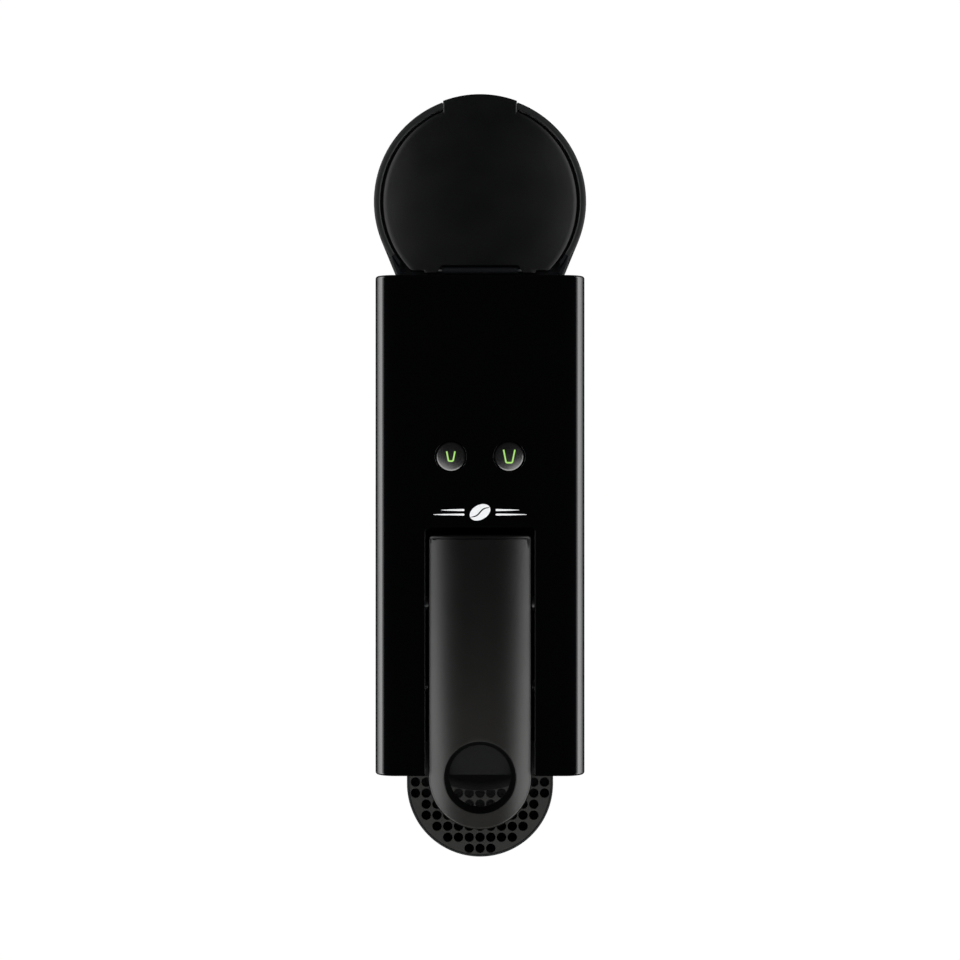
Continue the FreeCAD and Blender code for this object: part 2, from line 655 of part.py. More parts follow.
def drip_tray():
    outer = d_shape(TRAY_R, TRAY_Y, TRAY_REAR, TRAY_BOTTOM, TRAY_TOP - 0.2)
    outer = soften(outer, 2.0, lambda p, e: near(p.z, TRAY_BOTTOM))
    inner = d_shape(TRAY_R - 1.6, TRAY_Y, TRAY_REAR - 1.6, 9.0, TRAY_TOP + 1)
    seat = d_shape(TRAY_R - 0.8, TRAY_Y, TRAY_REAR - 0.8, TRAY_TOP - 2.3, TRAY_TOP + 1)
    tray = outer.cut(inner).cut(seat)
    return tray.cut(box(-20, 20, -98.5, -80, 0, 7.4))


def drip_grid():
    """The perforated cup support. Rows of holes fill the plate up to a constant distance from its edge."""
    disc = d_shape(TRAY_R - 1.1, TRAY_Y, TRAY_REAR - 1.1, TRAY_TOP - 2.2, TRAY_TOP)
    holes = []
    row = 0
    while TRAY_Y + 0.7 + HOLE_PITCH_Y * row < TRAY_REAR - 6:
        holes += grid_row(TRAY_Y + 0.7 + HOLE_PITCH_Y * row)
        row += 1
    for row in range(1, 7):
        holes += grid_row(TRAY_Y + 0.7 - HOLE_PITCH_Y * row)
    return disc.cut(Part.makeCompound(holes))


def grid_row(y):
    """One row of drain holes, as cutters."""
    row = []
    for i in range(-6, 7):
        x = HOLE_PITCH_X * i
        if y > TRAY_Y or math.hypot(x, y - TRAY_Y) < HOLE_LIMIT:
            row.append(rod_z(HOLE_R, TRAY_TOP - 5, TRAY_TOP + 5, x, y))
    return row


# ---------------------------------------------------------------- water tank
def water_tank():
    """The tank: walls, floor, a ledge for the lid, a rim notched for the lid's tab, and the knuckle."""
    tank = tank_outline(0, TANK_BOTTOM, TANK_TOP)
    tank = soften(tank, 1.2, lambda p, e: near(p.z, TANK_BOTTOM))
    tank = tank.cut(tank_outline(TANK_WALL, TANK_BOTTOM + 2.5, 194.5))
    tank = tank.cut(tank_outline(5.0, 190, 197))
    recess = rod_z(LID_R + LID_GAP, 196.5, TANK_TOP + 1, 0, TANK_Y)
    tank = tank.cut(recess.common(box(-50, 50, TANK_FRONT + 0.8, 200, 190, 210)))
    tank = tank.cut(box(-22.9, 22.9, TANK_FRONT - 2, HINGE_Y + 4, 196.5, 205))
    tank = tank.cut(box(-32, 32, TANK_FRONT - 2, HINGE_Y + 3, 196.5, 205))
    corner = tank_outline(1.1, 197.5, TANK_TOP + 1).cut(rod_z(LID_R + LID_GAP + 1.1, 190, 210, 0, TANK_Y))
    tank = tank.cut(corner.common(box(-50, 50, 80, 100.5, 190, 210)))
    tank = tank.cut(box(-15.1, 15.1, TANK_Y + 30, TANK_Y + 50, 197.4, 205))
    knuckle = rod_x(KNUCKLE_R, -HINGE_HALF, HINGE_HALF, HINGE_Y, HINGE_Z)
    web = box(-HINGE_HALF, HINGE_HALF, HINGE_Y - KNUCKLE_R, HINGE_Y + KNUCKLE_R, 195.5, HINGE_Z)
    tank = join(tank, knuckle, web)
    tank = tank.cut(rod_x(HINGE_PIN_R, -30, 30, HINGE_Y, HINGE_Z))
    return tank.cut(rod_z(3.4, TANK_BOTTOM - 1, TANK_BOTTOM + 5, 0, VALVE_Y))


def tank_lid():
    """A disc, slightly crowned, with a lifting tab at the back and two hinge arms at the front."""
    disc = rod_z(LID_R, LID_UNDER, TANK_TOP + 1, 0, TANK_Y)
    disc = disc.cut(box(-50, 50, 0, HINGE_Y - 0.2, 190, 210))
    disc = disc.cut(box(-HINGE_HALF - 0.3, HINGE_HALF + 0.3, 0, HINGE_Y + KNUCKLE_R + 0.4, 190, 210))
    tab = rod_z(43.0, 197.7, TANK_TOP + 1, 0, TANK_Y).common(box(-14.8, 14.8, TANK_Y + 30, 180, 190, 210))
    tab = soften(tab, 1.5, lambda p, e: upright(e) and p.y > TANK_Y + 38)
    inner, outer = HINGE_HALF + 0.3, 22.6
    arms = []
    for s in (1, -1):
        x0, x1 = sorted((s * inner, s * outer))
        arms.append(rod_x(KNUCKLE_R, x0, x1, HINGE_Y, HINGE_Z))
        arms.append(box(x0, x1, HINGE_Y, HINGE_Y + 4, HINGE_Z - KNUCKLE_R, HINGE_Z + KNUCKLE_R))
    lid = join(disc, tab, *arms)
    crown = Part.makeCylinder(LID_CROWN, 120, V(0, 80, TANK_TOP + LID_RISE - LID_CROWN), V(0, 1, 0))
    lid = lid.common(crown)
    hollow = rod_z(LID_R - 3, LID_UNDER - 1, LID_UNDER + 1.1, 0, TANK_Y)
    lid = lid.cut(hollow.common(box(-50, 50, 100, 200, 190, 210)))
    return lid.cut(rod_x(HINGE_PIN_R + SMALL, -30, 30, HINGE_Y, HINGE_Z))


def lid_hinge_pin():
    return rod_x(HINGE_PIN_R, -22.4, 22.4, HINGE_Y, HINGE_Z)


def valve_body():
    ring = rod_z(8.6, 41.0, TANK_BOTTOM, 0, VALVE_Y).cut(rod_z(5.4, 40, 50, 0, VALVE_Y))
    groove = rod_z(9.5, 43.4, 45.4, 0, VALVE_Y).cut(rod_z(7.4, 40, 50, 0, VALVE_Y))
    return ring.cut(groove)


def valve_plunger():
    """Stem, sealing head inside the tank and a collar that the spring pushes on."""
    stem = rod_z(1.6, 41.2, 53.0, 0, VALVE_Y)
    head = rod_z(5.0, 52.2, 54.2, 0, VALVE_Y)
    collar = rod_z(4.6, 41.2, 42.4, 0, VALVE_Y)
    return join(stem, head, collar)


def valve_spring():
    return spring(3.2, 0.35, 42.4, TANK_BOTTOM, 4, 0, VALVE_Y)


def tank_seat_seal():
    """The rubber ring in the valve's groove."""
    return Part.makeTorus(8.3, 0.85, V(0, VALVE_Y, 44.4), V(0, 0, 1))


# ---------------------------------------------------------------- pump and heater
def pump_body():
    """The plastic tube of the pump with its two nipples."""
    tube = rod_y(9.0, 28, 64, 0, PUMP_Z)
    inlet = join(rod_y(5.0, 64, 69, 0, PUMP_Z), rod_y(HOSE_BORE, 69, PUMP_Y1, 0, PUMP_Z))
    outlet = join(rod_y(5.0, 22, 28, 0, PUMP_Z), rod_y(HOSE_BORE, PUMP_Y0, 22, 0, PUMP_Z))
    solid = join(tube, inlet, outlet)
    solid = solid.cut(rod_y(5.5, 31, 61, 0, PUMP_Z))
    return solid.cut(rod_y(1.6, PUMP_Y0 - 1, PUMP_Y1 + 1, 0, PUMP_Z))


def pump_piston():
    """The steel armature that shuttles in the pump's bore."""
    core = join(rod_y(5.5 - SMALL, 36, 52, 0, PUMP_Z), rod_y(3.0, 52, 57, 0, PUMP_Z))
    return core.cut(rod_y(1.5, 30, 60, 0, PUMP_Z))


def pump_coil():
    bobbin = [box(-14.5, 14.5, y, y + 1.6, PUMP_Z - 14.5, PUMP_Z + 14.5) for y in (33, 57.4)]
    coil = join(rod_y(13.6, 34, 58, 0, PUMP_Z), *bobbin)
    return coil.cut(rod_y(9.0, 20, 80, 0, PUMP_Z))


def pump_frame():
    """The folded steel yoke round the coil."""
    outer = box(-16.8, 16.8, 30.6, 61.4, PUMP_Z - 17.0, PUMP_Z + 17.0)
    inner = box(-20, 20, 32.8, 59.2, PUMP_Z - 14.8, PUMP_Z + 14.8)
    return outer.cut(inner).cut(rod_y(9.0, 10, 80, 0, PUMP_Z))


def pump_mounts():
    """Two rubber blocks that carry the pump by its nipples."""
    def mount(y):
        block = box(-8.5, 8.5, y, y + 4, 6, PUMP_Z + 1.5)
        return block.cut(rod_y(5.0, y - 1, y + 5, 0, PUMP_Z))
    return [mount(23.4), mount(64.6)]


def thermoblock():
    """A cast aluminium block with cooling ribs and two pipe stubs."""
    block = box(-17, 17, BLOCK_Y0, BLOCK_Y1, BLOCK_Z0, BLOCK_Z1)
    block = soften(block, 4, lambda p, e: near(abs(p.x), 17) and e.BoundBox.YLength > 50)
    ribs = [box(-17.9, 17.9, 28 + 7 * i, 30.5 + 7 * i, BLOCK_Z0 + 5, BLOCK_Z1 - 5) for i in range(7)]
    inlet = rod_y(HOSE_BORE, RISER_Y + 6, BLOCK_Y0, 0, PIPE_Z)
    outlet = rod_y(1.5, 12.5, BLOCK_Y0, -9.6, PIPE_Z)
    feet = [rod_z(3.5, DECK_Z + DECK_T, BLOCK_Z0 + 1, s * 10, y) for s in (1, -1) for y in (30, 74)]
    solid = join(block, *ribs, inlet, outlet, *feet)
    solid = solid.cut(rod_y(1.6, 5, 70, 0, PIPE_Z)).cut(rod_y(0.9, 5, 70, -9.6, PIPE_Z))
    return solid.cut(rod_x(0.7, -9.6, 0, 66, PIPE_Z))


def heater_terminals():
    blades = []
    for s in (1, -1):
        pillar = rod_y(3.2, BLOCK_Y1, BLOCK_Y1 + 2, s * 9, 166)
        blade = box(s * 9 - 0.4, s * 9 + 0.4, BLOCK_Y1 + 1, BLOCK_Y1 + 5.4, 163.5, 168.5)
        blades.append(join(pillar, blade))
    return blades


def thermostats():
    """Two round thermal cut-outs on top of the block."""
    return [join(rod_z(8.0, BLOCK_Z1, BLOCK_Z1 + 5.0, 0, y), rod_z(5.0, BLOCK_Z1 + 5.0, BLOCK_Z1 + 8.0, 0, y))
            for y in (50, 71)]


def heater_leads():
    """Two insulated wires from the heater's blades through the deck to the relay."""
    far = BLOCK_Y1 + 3.2
    routes = [
        [(9, far, 163.4), (9, far, 157), (24, far, 151), (24, 80, 124), (28, 50, 122), (28, 50, 112)],
        [(-9, far, 163.4), (-9, far, 149), (20, far, 146), (20, 80, 124), (23, 44, 120), (23, 44, 112)],
    ]
    return [hose(route, 1.1, 0) for route in routes]


def flow_meter_body():
    """A cup with a post for the impeller, an inlet behind and an outlet beside it."""
    cup = rod_z(13.0, 6, 22, METER_X, METER_Y).cut(rod_z(11.0, 8, 23, METER_X, METER_Y))
    inlet = rod_y(HOSE_BORE, METER_Y + 11.2, METER_Y + 15, PORT_X, PORT_Z)
    outlet = rod_x(HOSE_BORE, METER_X + 12, METER_X + 17, METER_Y + 0.5, PORT_Z)
    post = rod_z(1.2, 7, 20, METER_X, METER_Y)
    solid = join(cup, inlet.cut(rod_z(11.0, 8, 23, METER_X, METER_Y)), outlet, post)
    solid = solid.cut(rod_y(1.5, METER_Y + 6, METER_Y + 18, PORT_X, PORT_Z))
    return solid.cut(rod_x(1.5, METER_X + 6, METER_X + 18, METER_Y + 0.5, PORT_Z))


def flow_meter_lid():
    lid = rod_z(13.6, 22, 24.5, METER_X, METER_Y)
    return join(lid, box(METER_X - 6, METER_X + 6, METER_Y - 4, METER_Y + 4, 24.5, 30))


def flow_impeller():
    hub = rod_z(3.0, 9, 19, METER_X, METER_Y)
    blades = []
    for i in range(6):
        blade = box(METER_X + 2.0, METER_X + 10.2, METER_Y - 0.5, METER_Y + 0.5, 11, 18)
        blade.rotate(V(METER_X, METER_Y, 0), V(0, 0, 1), 60 * i)
        blades.append(blade)
    return join(hub, *blades).cut(rod_z(1.2 + SMALL, 5, 25, METER_X, METER_Y))


# ---------------------------------------------------------------- hoses
def suction_hose():
    """From the nipple under the tank's well to the flow meter."""
    route = [(0, VALVE_Y, 33.6), (0, VALVE_Y, 19), (PORT_X, 106, PORT_Z), (PORT_X, METER_Y + 13.2, PORT_Z)]
    return hose(route, HOSE_R, HOSE_BORE)


def pump_inlet_hose():
    """From the flow meter round to the back of the pump."""
    side = METER_Y + 0.5
    return hose([(METER_X + 13.5, side, PORT_Z), (5, side, PORT_Z), (5, 84, 24), (0, 84, PUMP_Z),
                 (0, 69.3, PUMP_Z)], HOSE_R, HOSE_BORE)


def riser_hose():
    """From the pump straight up to the heater."""
    return hose([(0, PUMP_Y0 + 5.7, PUMP_Z), (0, RISER_Y, PUMP_Z), (0, RISER_Y, PIPE_Z),
                 (0, RISER_Y + 13.7, PIPE_Z)], HOSE_R, HOSE_BORE)


def hot_hose():
    """The thin hose from the heater to the cage. Its free end travels with the cage."""
    return hose([(-9.6, BLOCK_Y0 - 0.4, PIPE_Z), (-9.6, 3, PIPE_Z), (-9.6, 3, 124), (0, -8, 122),
                 (0, CAGE_REAR - 2.5, 122), (0, CAGE_REAR - 2.5, 140)], 2.3, 1.5)


# ---------------------------------------------------------------- electronics and buttons
def main_board():
    return box(MAIN_BOARD_X, MAIN_BOARD_X + 1.6, -6, 80, 34, 118)


def board_components():
    """Relay, capacitor, coil, two chips and two connectors on the board's inner face."""
    face = MAIN_BOARD_X
    relay = box(19.0, face, 40, 58, 90, 112)
    filter_cap = box(24.0, face, 8, 26, 88, 104)
    choke = rod_x(7.0, 24.0, face, 70, 76)
    electrolytic = rod_x(5.0, 20.0, face, 6, 66)
    chips = [box(31.2, face, 22 + 18 * i, 32 + 18 * i, 66, 76) for i in range(2)]
    headers = [box(26.5, face, 10 + 20 * i, 24 + 20 * i, 37, 43) for i in range(3)]
    return [relay, filter_cap, choke, electrolytic, *chips, *headers]


def board_posts():
    return [rod_x(3.0, 34.6, 39.4, y, z) for y in (-2, 76) for z in (38, 114)]


def button_carrier():
    """The bracket under the casing top: it guides both buttons and carries their board."""
    top = box(-24, 24, 8, 32, 195.0, 197.0)
    legs = [box(*sorted((s * 21.5, s * 24)), 8, 32, BOARD_Z + 1.6, 195.0) for s in (1, -1)]
    pads = [box(*sorted((s * 21.5, s * 24)), 8, 32, 197.0, 201.6) for s in (1, -1)]
    solid = join(top, *legs, *pads)
    for s in (1, -1):
        solid = solid.cut(rod_z(STEM_R + PLAY, 190, 205, s * BUTTON_X, BUTTON_Y))
    return solid


def button_board():
    return box(-24, 24, 8, 32, BOARD_Z, BOARD_Z + 1.6)


def tact_switches():
    z = BOARD_Z + 1.6
    return [join(box(s * BUTTON_X - 3, s * BUTTON_X + 3, BUTTON_Y - 3, BUTTON_Y + 3, z, z + 1.0),
                 rod_z(1.6, z + 1.0, z + 1.2, s * BUTTON_X, BUTTON_Y)) for s in (1, -1)]


def button_leds():
    z = BOARD_Z + 1.6
    y = BUTTON_Y + 5
    return [box(s * BUTTON_X - 0.8, s * BUTTON_X + 0.8, y, y + 1.6, z, z + 0.8) for s in (1, -1)]


def dome():
    """The shallow dome that both button caps follow, its top between and behind them."""
    return Part.makeSphere(BUTTON_DOME, V(0, BUTTON_APEX_Y, HEIGHT + BUTTON_RISE - BUTTON_DOME))


def cup_glyph(side):
    """An open cup: two sides that close in towards a short bottom, as a band of constant width."""
    x, y = side * BUTTON_X, BUTTON_Y
    (wide, tall), stroke = GLYPHS[side], SIGN_STROKE
    low = wide * 0.27
    outer = [(-wide / 2, tall / 2), (-low, -tall / 2), (low, -tall / 2), (wide / 2, tall / 2)]
    inner = [(wide / 2 - stroke, tall / 2), (low - stroke * 0.8, -tall / 2 + stroke),
             (-low + stroke * 0.8, -tall / 2 + stroke), (-wide / 2 + stroke, tall / 2)]
    points = [V(x + a, y + b, HEIGHT - SIGN_DEPTH) for a, b in outer + inner]
    return polygon(points, V(0, 0, SIGN_DEPTH + 2))


def button(side):
    """A domed cap on a stem that ends just above its switch, with a slot for the lit sign."""
    x = side * BUTTON_X
    cap = rod_z(BUTTON_R, HEIGHT - CAP_DEPTH, HEIGHT + 1, x, BUTTON_Y).common(dome())
    stem = rod_z(STEM_R, BOARD_Z + 4.2, HEIGHT - CAP_DEPTH + 0.1, x, BUTTON_Y)
    return join(cap, stem).cut(cup_glyph(side))


def cup_light(side):
    """The clear insert that fills the slot in the cap."""
    return cup_glyph(side).common(dome())


# ---------------------------------------------------------------- feet, screws and the lead's gland
def rubber_feet():
    return [soften(rod_z(6.5, 0, 3, x, y), 0.5, lambda p, e: near(p.z, 0)) for x, y in FEET]


def pan_screw(x, y, z_head, length, up):
    """A screw with a cross recess in its flat head; up is the way its tip points."""
    direction = V(0, 0, up)
    head = Part.makeCylinder(2.8, 1.4, V(x, y, z_head), direction)
    shank = Part.makeCylinder(1.4, length, V(x, y, z_head), direction)
    cut = 0.8 * up
    z0, z1 = sorted((z_head - 0.1 * up, z_head + cut))
    along = box(x - 1.5, x + 1.5, y - 0.3, y + 0.3, z0, z1)
    cross = join(along, box(x - 0.3, x + 0.3, y - 1.5, y + 1.5, z0, z1))
    return join(head, shank).cut(cross)


def screws():
    """Three that hold the pedestal from below and four that hold the brew frame on the deck."""
    below = [pan_screw(x, y, 3.0, 14, 1) for x, y in PEDESTAL_POSTS]
    return below + [pan_screw(x, y, 141.4, 7.4, -1) for x, y in FRAME_SCREWS]


def cord_gland():
    """The rubber bush where the mains lead enters."""
    bush = join(rod_y(5.2, 158, 164.6, 0, GLAND_Z), rod_y(6.6, 156, 158.6, 0, GLAND_Z))
    return bush.cut(rod_y(3.6, 150, 170, 0, GLAND_Z))


# ---------------------------------------------------------------- build
SINGLE = [
    outer_casing, front_cover, throat_panel, rear_cover, base_chassis, tank_pedestal, head_deck, bulkhead,
    lever_well, lever_cover, lever_arm, brew_frame, capsule_cage, piercing_plate, extraction_plate,
    plate_seal, coffee_spout, outlet_nose, capsule_bin, drip_tray, drip_grid, water_tank, tank_lid,
    lid_hinge_pin, valve_body, valve_plunger, valve_spring, tank_seat_seal, pump_body, pump_piston,
    pump_coil, pump_frame, thermoblock, flow_meter_body, flow_meter_lid, flow_impeller, main_board,
    button_carrier, button_board, cord_gland, suction_hose, pump_inlet_hose, riser_hose, hot_hose,
]
GROUPS = [
    lever_pivots, cage_pins, pump_mounts, heater_terminals, heater_leads, thermostats,
    board_components, board_posts,
    tact_switches, button_leds, rubber_feet, screws,
]


def main():
    os.makedirs(OUT, exist_ok=True)
    for make in SINGLE:
        save(make.__name__, make())
    for make in GROUPS:
        save(make.__name__, *make())
    save("button_large_cup", button(1))
    save("button_small_cup", button(-1))
    save("cup_light_large", cup_light(1))
    save("cup_light_small", cup_light(-1))


main()
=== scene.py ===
"""Pod coffee machine: materials, finished surfaces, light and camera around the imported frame.

Every place comes from the frame, in metres: +X right seen from the front, +Y rear, +Z up.
"""

import bmesh
import bpy
import numpy as np
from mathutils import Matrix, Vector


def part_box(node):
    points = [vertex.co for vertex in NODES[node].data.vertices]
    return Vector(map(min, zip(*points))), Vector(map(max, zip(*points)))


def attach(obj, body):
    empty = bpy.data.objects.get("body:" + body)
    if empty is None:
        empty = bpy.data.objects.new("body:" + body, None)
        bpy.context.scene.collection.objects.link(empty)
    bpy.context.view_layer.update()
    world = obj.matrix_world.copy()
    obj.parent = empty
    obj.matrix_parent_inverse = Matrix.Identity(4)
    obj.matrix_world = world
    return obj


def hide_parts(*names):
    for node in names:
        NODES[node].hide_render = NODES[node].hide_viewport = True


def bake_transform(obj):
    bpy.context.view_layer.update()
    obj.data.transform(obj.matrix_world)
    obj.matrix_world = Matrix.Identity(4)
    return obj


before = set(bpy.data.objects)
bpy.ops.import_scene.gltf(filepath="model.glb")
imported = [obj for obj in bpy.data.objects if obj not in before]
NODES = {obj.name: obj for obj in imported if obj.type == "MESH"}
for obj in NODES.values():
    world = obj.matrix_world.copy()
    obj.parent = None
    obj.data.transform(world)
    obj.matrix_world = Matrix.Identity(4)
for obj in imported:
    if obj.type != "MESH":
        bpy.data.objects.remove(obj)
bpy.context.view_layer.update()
MM = 0.001
TAU = 2 * np.pi


# ---------------------------------------------------------------- shader maths
class Value:
    """A socket that carries one number. Python's operators on it add Math nodes."""

    def __init__(self, paint, socket):
        self.paint = paint
        self.socket = socket

    def __add__(self, other):
        return self.paint.maths("ADD", self, other)

    def __sub__(self, other):
        return self.paint.maths("SUBTRACT", self, other)

    def __rsub__(self, other):
        return self.paint.maths("SUBTRACT", other, self)

    def __mul__(self, other):
        return self.paint.maths("MULTIPLY", self, other)

    def __truediv__(self, other):
        return self.paint.maths("DIVIDE", self, other)

    def __rtruediv__(self, other):
        return self.paint.maths("DIVIDE", other, self)

    def __pow__(self, other):
        return self.paint.maths("POWER", self, other)

    __radd__ = __add__
    __rmul__ = __mul__

    def between(self, low, high):
        """0 below low, 1 above high, and a smooth step from one to the other."""
        return self.paint.out("ShaderNodeMapRange", "Result", {"interpolation_type": "SMOOTHSTEP"},
                              Value=self, From_Min=low, From_Max=high)


class Paint:
    """One material. Its methods add nodes, and settings are set before sockets."""

    def __init__(self, name, **constants):
        self.material = bpy.data.materials.new(name)
        self.material.use_nodes = True
        self.tree = self.material.node_tree
        self.shader = self.tree.nodes["Principled BSDF"]
        self.places = self.node("ShaderNodeTexCoord").outputs["Object"]
        self.set(**constants)

    def node(self, kind, settings=None, **inputs):
        """A node of that type, with its settings, then the values or links of its sockets."""
        made = self.tree.nodes.new(kind)
        for key, value in (settings or {}).items():
            if key == "stops":
                self.fill_ramp(made.color_ramp, value)
            else:
                setattr(made, key, value)
        for key, value in inputs.items():
            self.feed(made, key, value)
        return made

    def fill_ramp(self, ramp, stops):
        while len(ramp.elements) < len(stops):
            ramp.elements.new(0.5)
        for element, (place, colour) in zip(ramp.elements, stops):
            element.position = place
            element.color = (*colour, 1)

    def feed(self, node, key, value):
        """Sets or links one socket, found by its identifier or by its name with spaces for underscores."""
        names = (key, key.replace("_", " "))
        socket = next(s for s in node.inputs if s.identifier == key or s.name in names)
        if isinstance(value, Value):
            value = value.socket
        if isinstance(value, bpy.types.NodeSocket):
            self.tree.links.new(value, socket)
        else:
            socket.default_value = value

    def out(self, kind, output, settings=None, **inputs):
        return Value(self, self.node(kind, settings, **inputs).outputs[output])

    def maths(self, operation, *terms):
        made = self.node("ShaderNodeMath", {"operation": operation})
        for socket, term in zip(made.inputs, terms):
            if isinstance(term, Value):
                self.tree.links.new(term.socket, socket)
            else:
                socket.default_value = term
        return Value(self, made.outputs[0])

    def set(self, **inputs):
        """Sockets of the material's own shader."""
        for key, value in inputs.items():
            if isinstance(value, tuple) and len(value) == 3:
                value = (*value, 1)
            self.feed(self.shader, key, value)
        return self

    def stretched(self, x, y, z):
        """Object coordinates, each axis multiplied by its own factor."""
        return self.node("ShaderNodeMapping", {"vector_type": "POINT"},
                         Vector=self.places, Scale=(x, y, z)).outputs[0]

    def noise(self, scale, detail=2.0, roughness=0.5, places=None):
        """Cloudy values round 0.5, scale being the number of clouds in a metre."""
        return self.out("ShaderNodeTexNoise", "Fac", Vector=places or self.places, Scale=scale,
                        Detail=detail, Roughness=roughness)

    def grains(self, scale, places=None):
        """Distance to the nearest of many scattered points: round cells, as of a spark-eroded mould."""
        return self.out("ShaderNodeTexVoronoi", "Distance", Vector=places or self.places, Scale=scale)

    def mix(self, share, one, other):
        """A colour from one to the other as share goes from 0 to 1."""
        made = self.node("ShaderNodeMix", {"data_type": "RGBA"}, Factor_Float=share,
                         A_Color=(*one, 1) if isinstance(one, tuple) else one,
                         B_Color=(*other, 1) if isinstance(other, tuple) else other)
        return made.outputs["Result"] if made.outputs[0].type == "RGBA" else made.outputs[2]

    def relief(self, height, depth, strength=1.0):
        """height, from 0 to 1, stands depth metres out of the surface."""
        made = self.node("ShaderNodeBump", None, Height=height, Distance=depth, Strength=strength)
        return self.set(Normal=made.outputs[0])


# ---------------------------------------------------------------- materials
def polished_black():
    """Piano black: a mirror coat with faint ripple, polishing haze and a little dust."""
    p = Paint("polished_black", Specular_IOR_Level=0.42)
    haze = p.noise(38, 4, 0.6).between(0.35, 0.75)
    dust = p.grains(900).between(0.08, 0.03) * p.noise(60, 2).between(0.5, 0.7)
    p.set(Base_Color=p.mix(dust * 0.25, (0.0009, 0.0010, 0.0013), (0.02, 0.02, 0.02)),
          Roughness=0.085 + haze * 0.03 + dust * 0.1)
    return p.relief(p.noise(220, 2), 0.000004)


def lever_satin():
    """Black satin plastic with a fine even grain. Its colour is painted paler towards the front end, as painted
    light where the lamps fall more strongly.
    """
    p = Paint("lever_satin", Specular_IOR_Level=0.5)
    cells = p.grains(2600)
    cloud = p.noise(45, 3, 0.6)
    along = p.out("ShaderNodeSeparateXYZ", "Y", None, Vector=p.places)
    # painted light: the colour grows paler towards the front end, with a little cloudy variation
    painted_front_light = along.between(-0.02, -0.125) * (0.75 + cloud * 0.5)
    base = p.mix(p.noise(900, 3), (0.0011, 0.0010, 0.0010), (0.0021, 0.0020, 0.0018))
    # the paler colour below is the painted light at the front end
    p.set(Base_Color=p.mix(painted_front_light, base, (0.0092, 0.0088, 0.0080)), Roughness=0.26 + cloud * 0.07)
    return p.relief(cells, 0.000006)


def bore_black():
    """The finger hole's wall and the lever's steep sides: the lever's plastic, rough and nearly without
    reflection, as painted shade that keeps them dark.
    """
    # painted shade: the reflection is turned almost off, so these faces stay dark
    p = Paint("bore_black", Specular_IOR_Level=0.05)
    p.set(Base_Color=p.mix(p.noise(900, 3), (0.0012, 0.0013, 0.0014), (0.0022, 0.0023, 0.0025)),
          Roughness=0.55 + p.noise(60, 3) * 0.1)
    return p.relief(p.grains(2100), 0.00001)


def dark_chrome():
    """The buttons' dark vapour-coated skin: a soft mirror with faint turning rings and finger marks."""
    p = Paint("dark_chrome", Metallic=1.0)
    marks = p.noise(260, 4, 0.6)
    p.set(Base_Color=p.mix(marks, (0.20, 0.20, 0.20), (0.25, 0.25, 0.245)), Roughness=0.115 + marks * 0.03)
    return p.relief(p.noise(1400, 2), 0.0000015)


def grained_black(name, low, high, gloss, depth=0.000014):
    """Moulded black plastic. low and high are its darkest and lightest colours, gloss its base roughness."""
    p = Paint(name, Specular_IOR_Level=0.45)
    cells = p.grains(2100)
    p.set(Base_Color=p.mix(p.noise(700, 3), low, high), Roughness=gloss + p.noise(60, 3) * 0.1)
    return p.relief(cells * 0.7 + p.noise(3800, 2) * 0.3, depth)


def smoked_plastic():
    """The tank's clear dark plastic, with moulding ripple and faint lime marks low on the walls."""
    p = Paint("smoked_plastic", Alpha=0.86, Specular_IOR_Level=0.5)
    height = p.out("ShaderNodeSeparateXYZ", "Z", None, Vector=p.places)
    marks = p.noise(70, 4, 0.7).between(0.58, 0.7) * height.between(0.16, 0.06)
    p.set(Base_Color=p.mix(marks * 0.15, (0.008, 0.009, 0.010), (0.04, 0.04, 0.04)),
          Roughness=0.16 + marks * 0.08)
    return p.relief(p.noise(120, 2), 0.00001)


def drawn_steel():
    """Bright steel with short fine drawing lines along X."""
    p = Paint("drawn_steel", Metallic=1.0)
    lines = p.noise(1, 4, 0.7, p.stretched(160, 3000, 3000))
    p.set(Base_Color=p.mix(lines, (0.48, 0.48, 0.49), (0.72, 0.72, 0.71)), Roughness=0.22 + lines * 0.18)
    return p.relief(lines, 0.000006)


def cast_metal():
    """Pressure-cast aluminium: cloudy skin and small pits."""
    p = Paint("cast_metal", Metallic=1.0)
    clouds, pits = p.noise(90, 5, 0.65), p.grains(1100).between(0.1, 0.3)
    p.set(Base_Color=p.mix(clouds, (0.40, 0.41, 0.42), (0.63, 0.64, 0.65)), Roughness=0.38 + clouds * 0.2)
    return p.relief(pits * 0.6 + clouds * 0.4, 0.00005)


def wound_copper():
    """Enamelled wire in close turns round the pump's axis, one every half millimetre."""
    p = Paint("wound_copper", Metallic=1.0)
    turns = p.out("ShaderNodeTexWave", "Fac", {"bands_direction": "Y", "wave_profile": "SIN"},
                  Vector=p.places, Scale=640.0, Distortion=0.6, Detail=1.0)
    p.set(Base_Color=p.mix(turns, (0.20, 0.06, 0.02), (0.66, 0.26, 0.10)), Roughness=0.3)
    return p.relief(turns, 0.0001)


def milky_silicone():
    """Silicone hose: milky, soft and slightly yellow, with an extrusion sheen."""
    p = Paint("milky_silicone", Subsurface_Weight=0.25, Subsurface_Scale=0.002)
    clouds = p.noise(140, 3)
    p.set(Base_Color=p.mix(clouds, (0.50, 0.49, 0.45), (0.62, 0.61, 0.57)), Roughness=0.35 + clouds * 0.15)
    return p.relief(p.noise(1500, 2), 0.00001)


def black_rubber():
    p = Paint("black_rubber", Specular_IOR_Level=0.3)
    p.set(Base_Color=p.mix(p.noise(500, 4), (0.008, 0.008, 0.008), (0.022, 0.021, 0.020)),
          Roughness=0.72 + p.noise(200, 2) * 0.15)
    return p.relief(p.grains(1800), 0.00003)


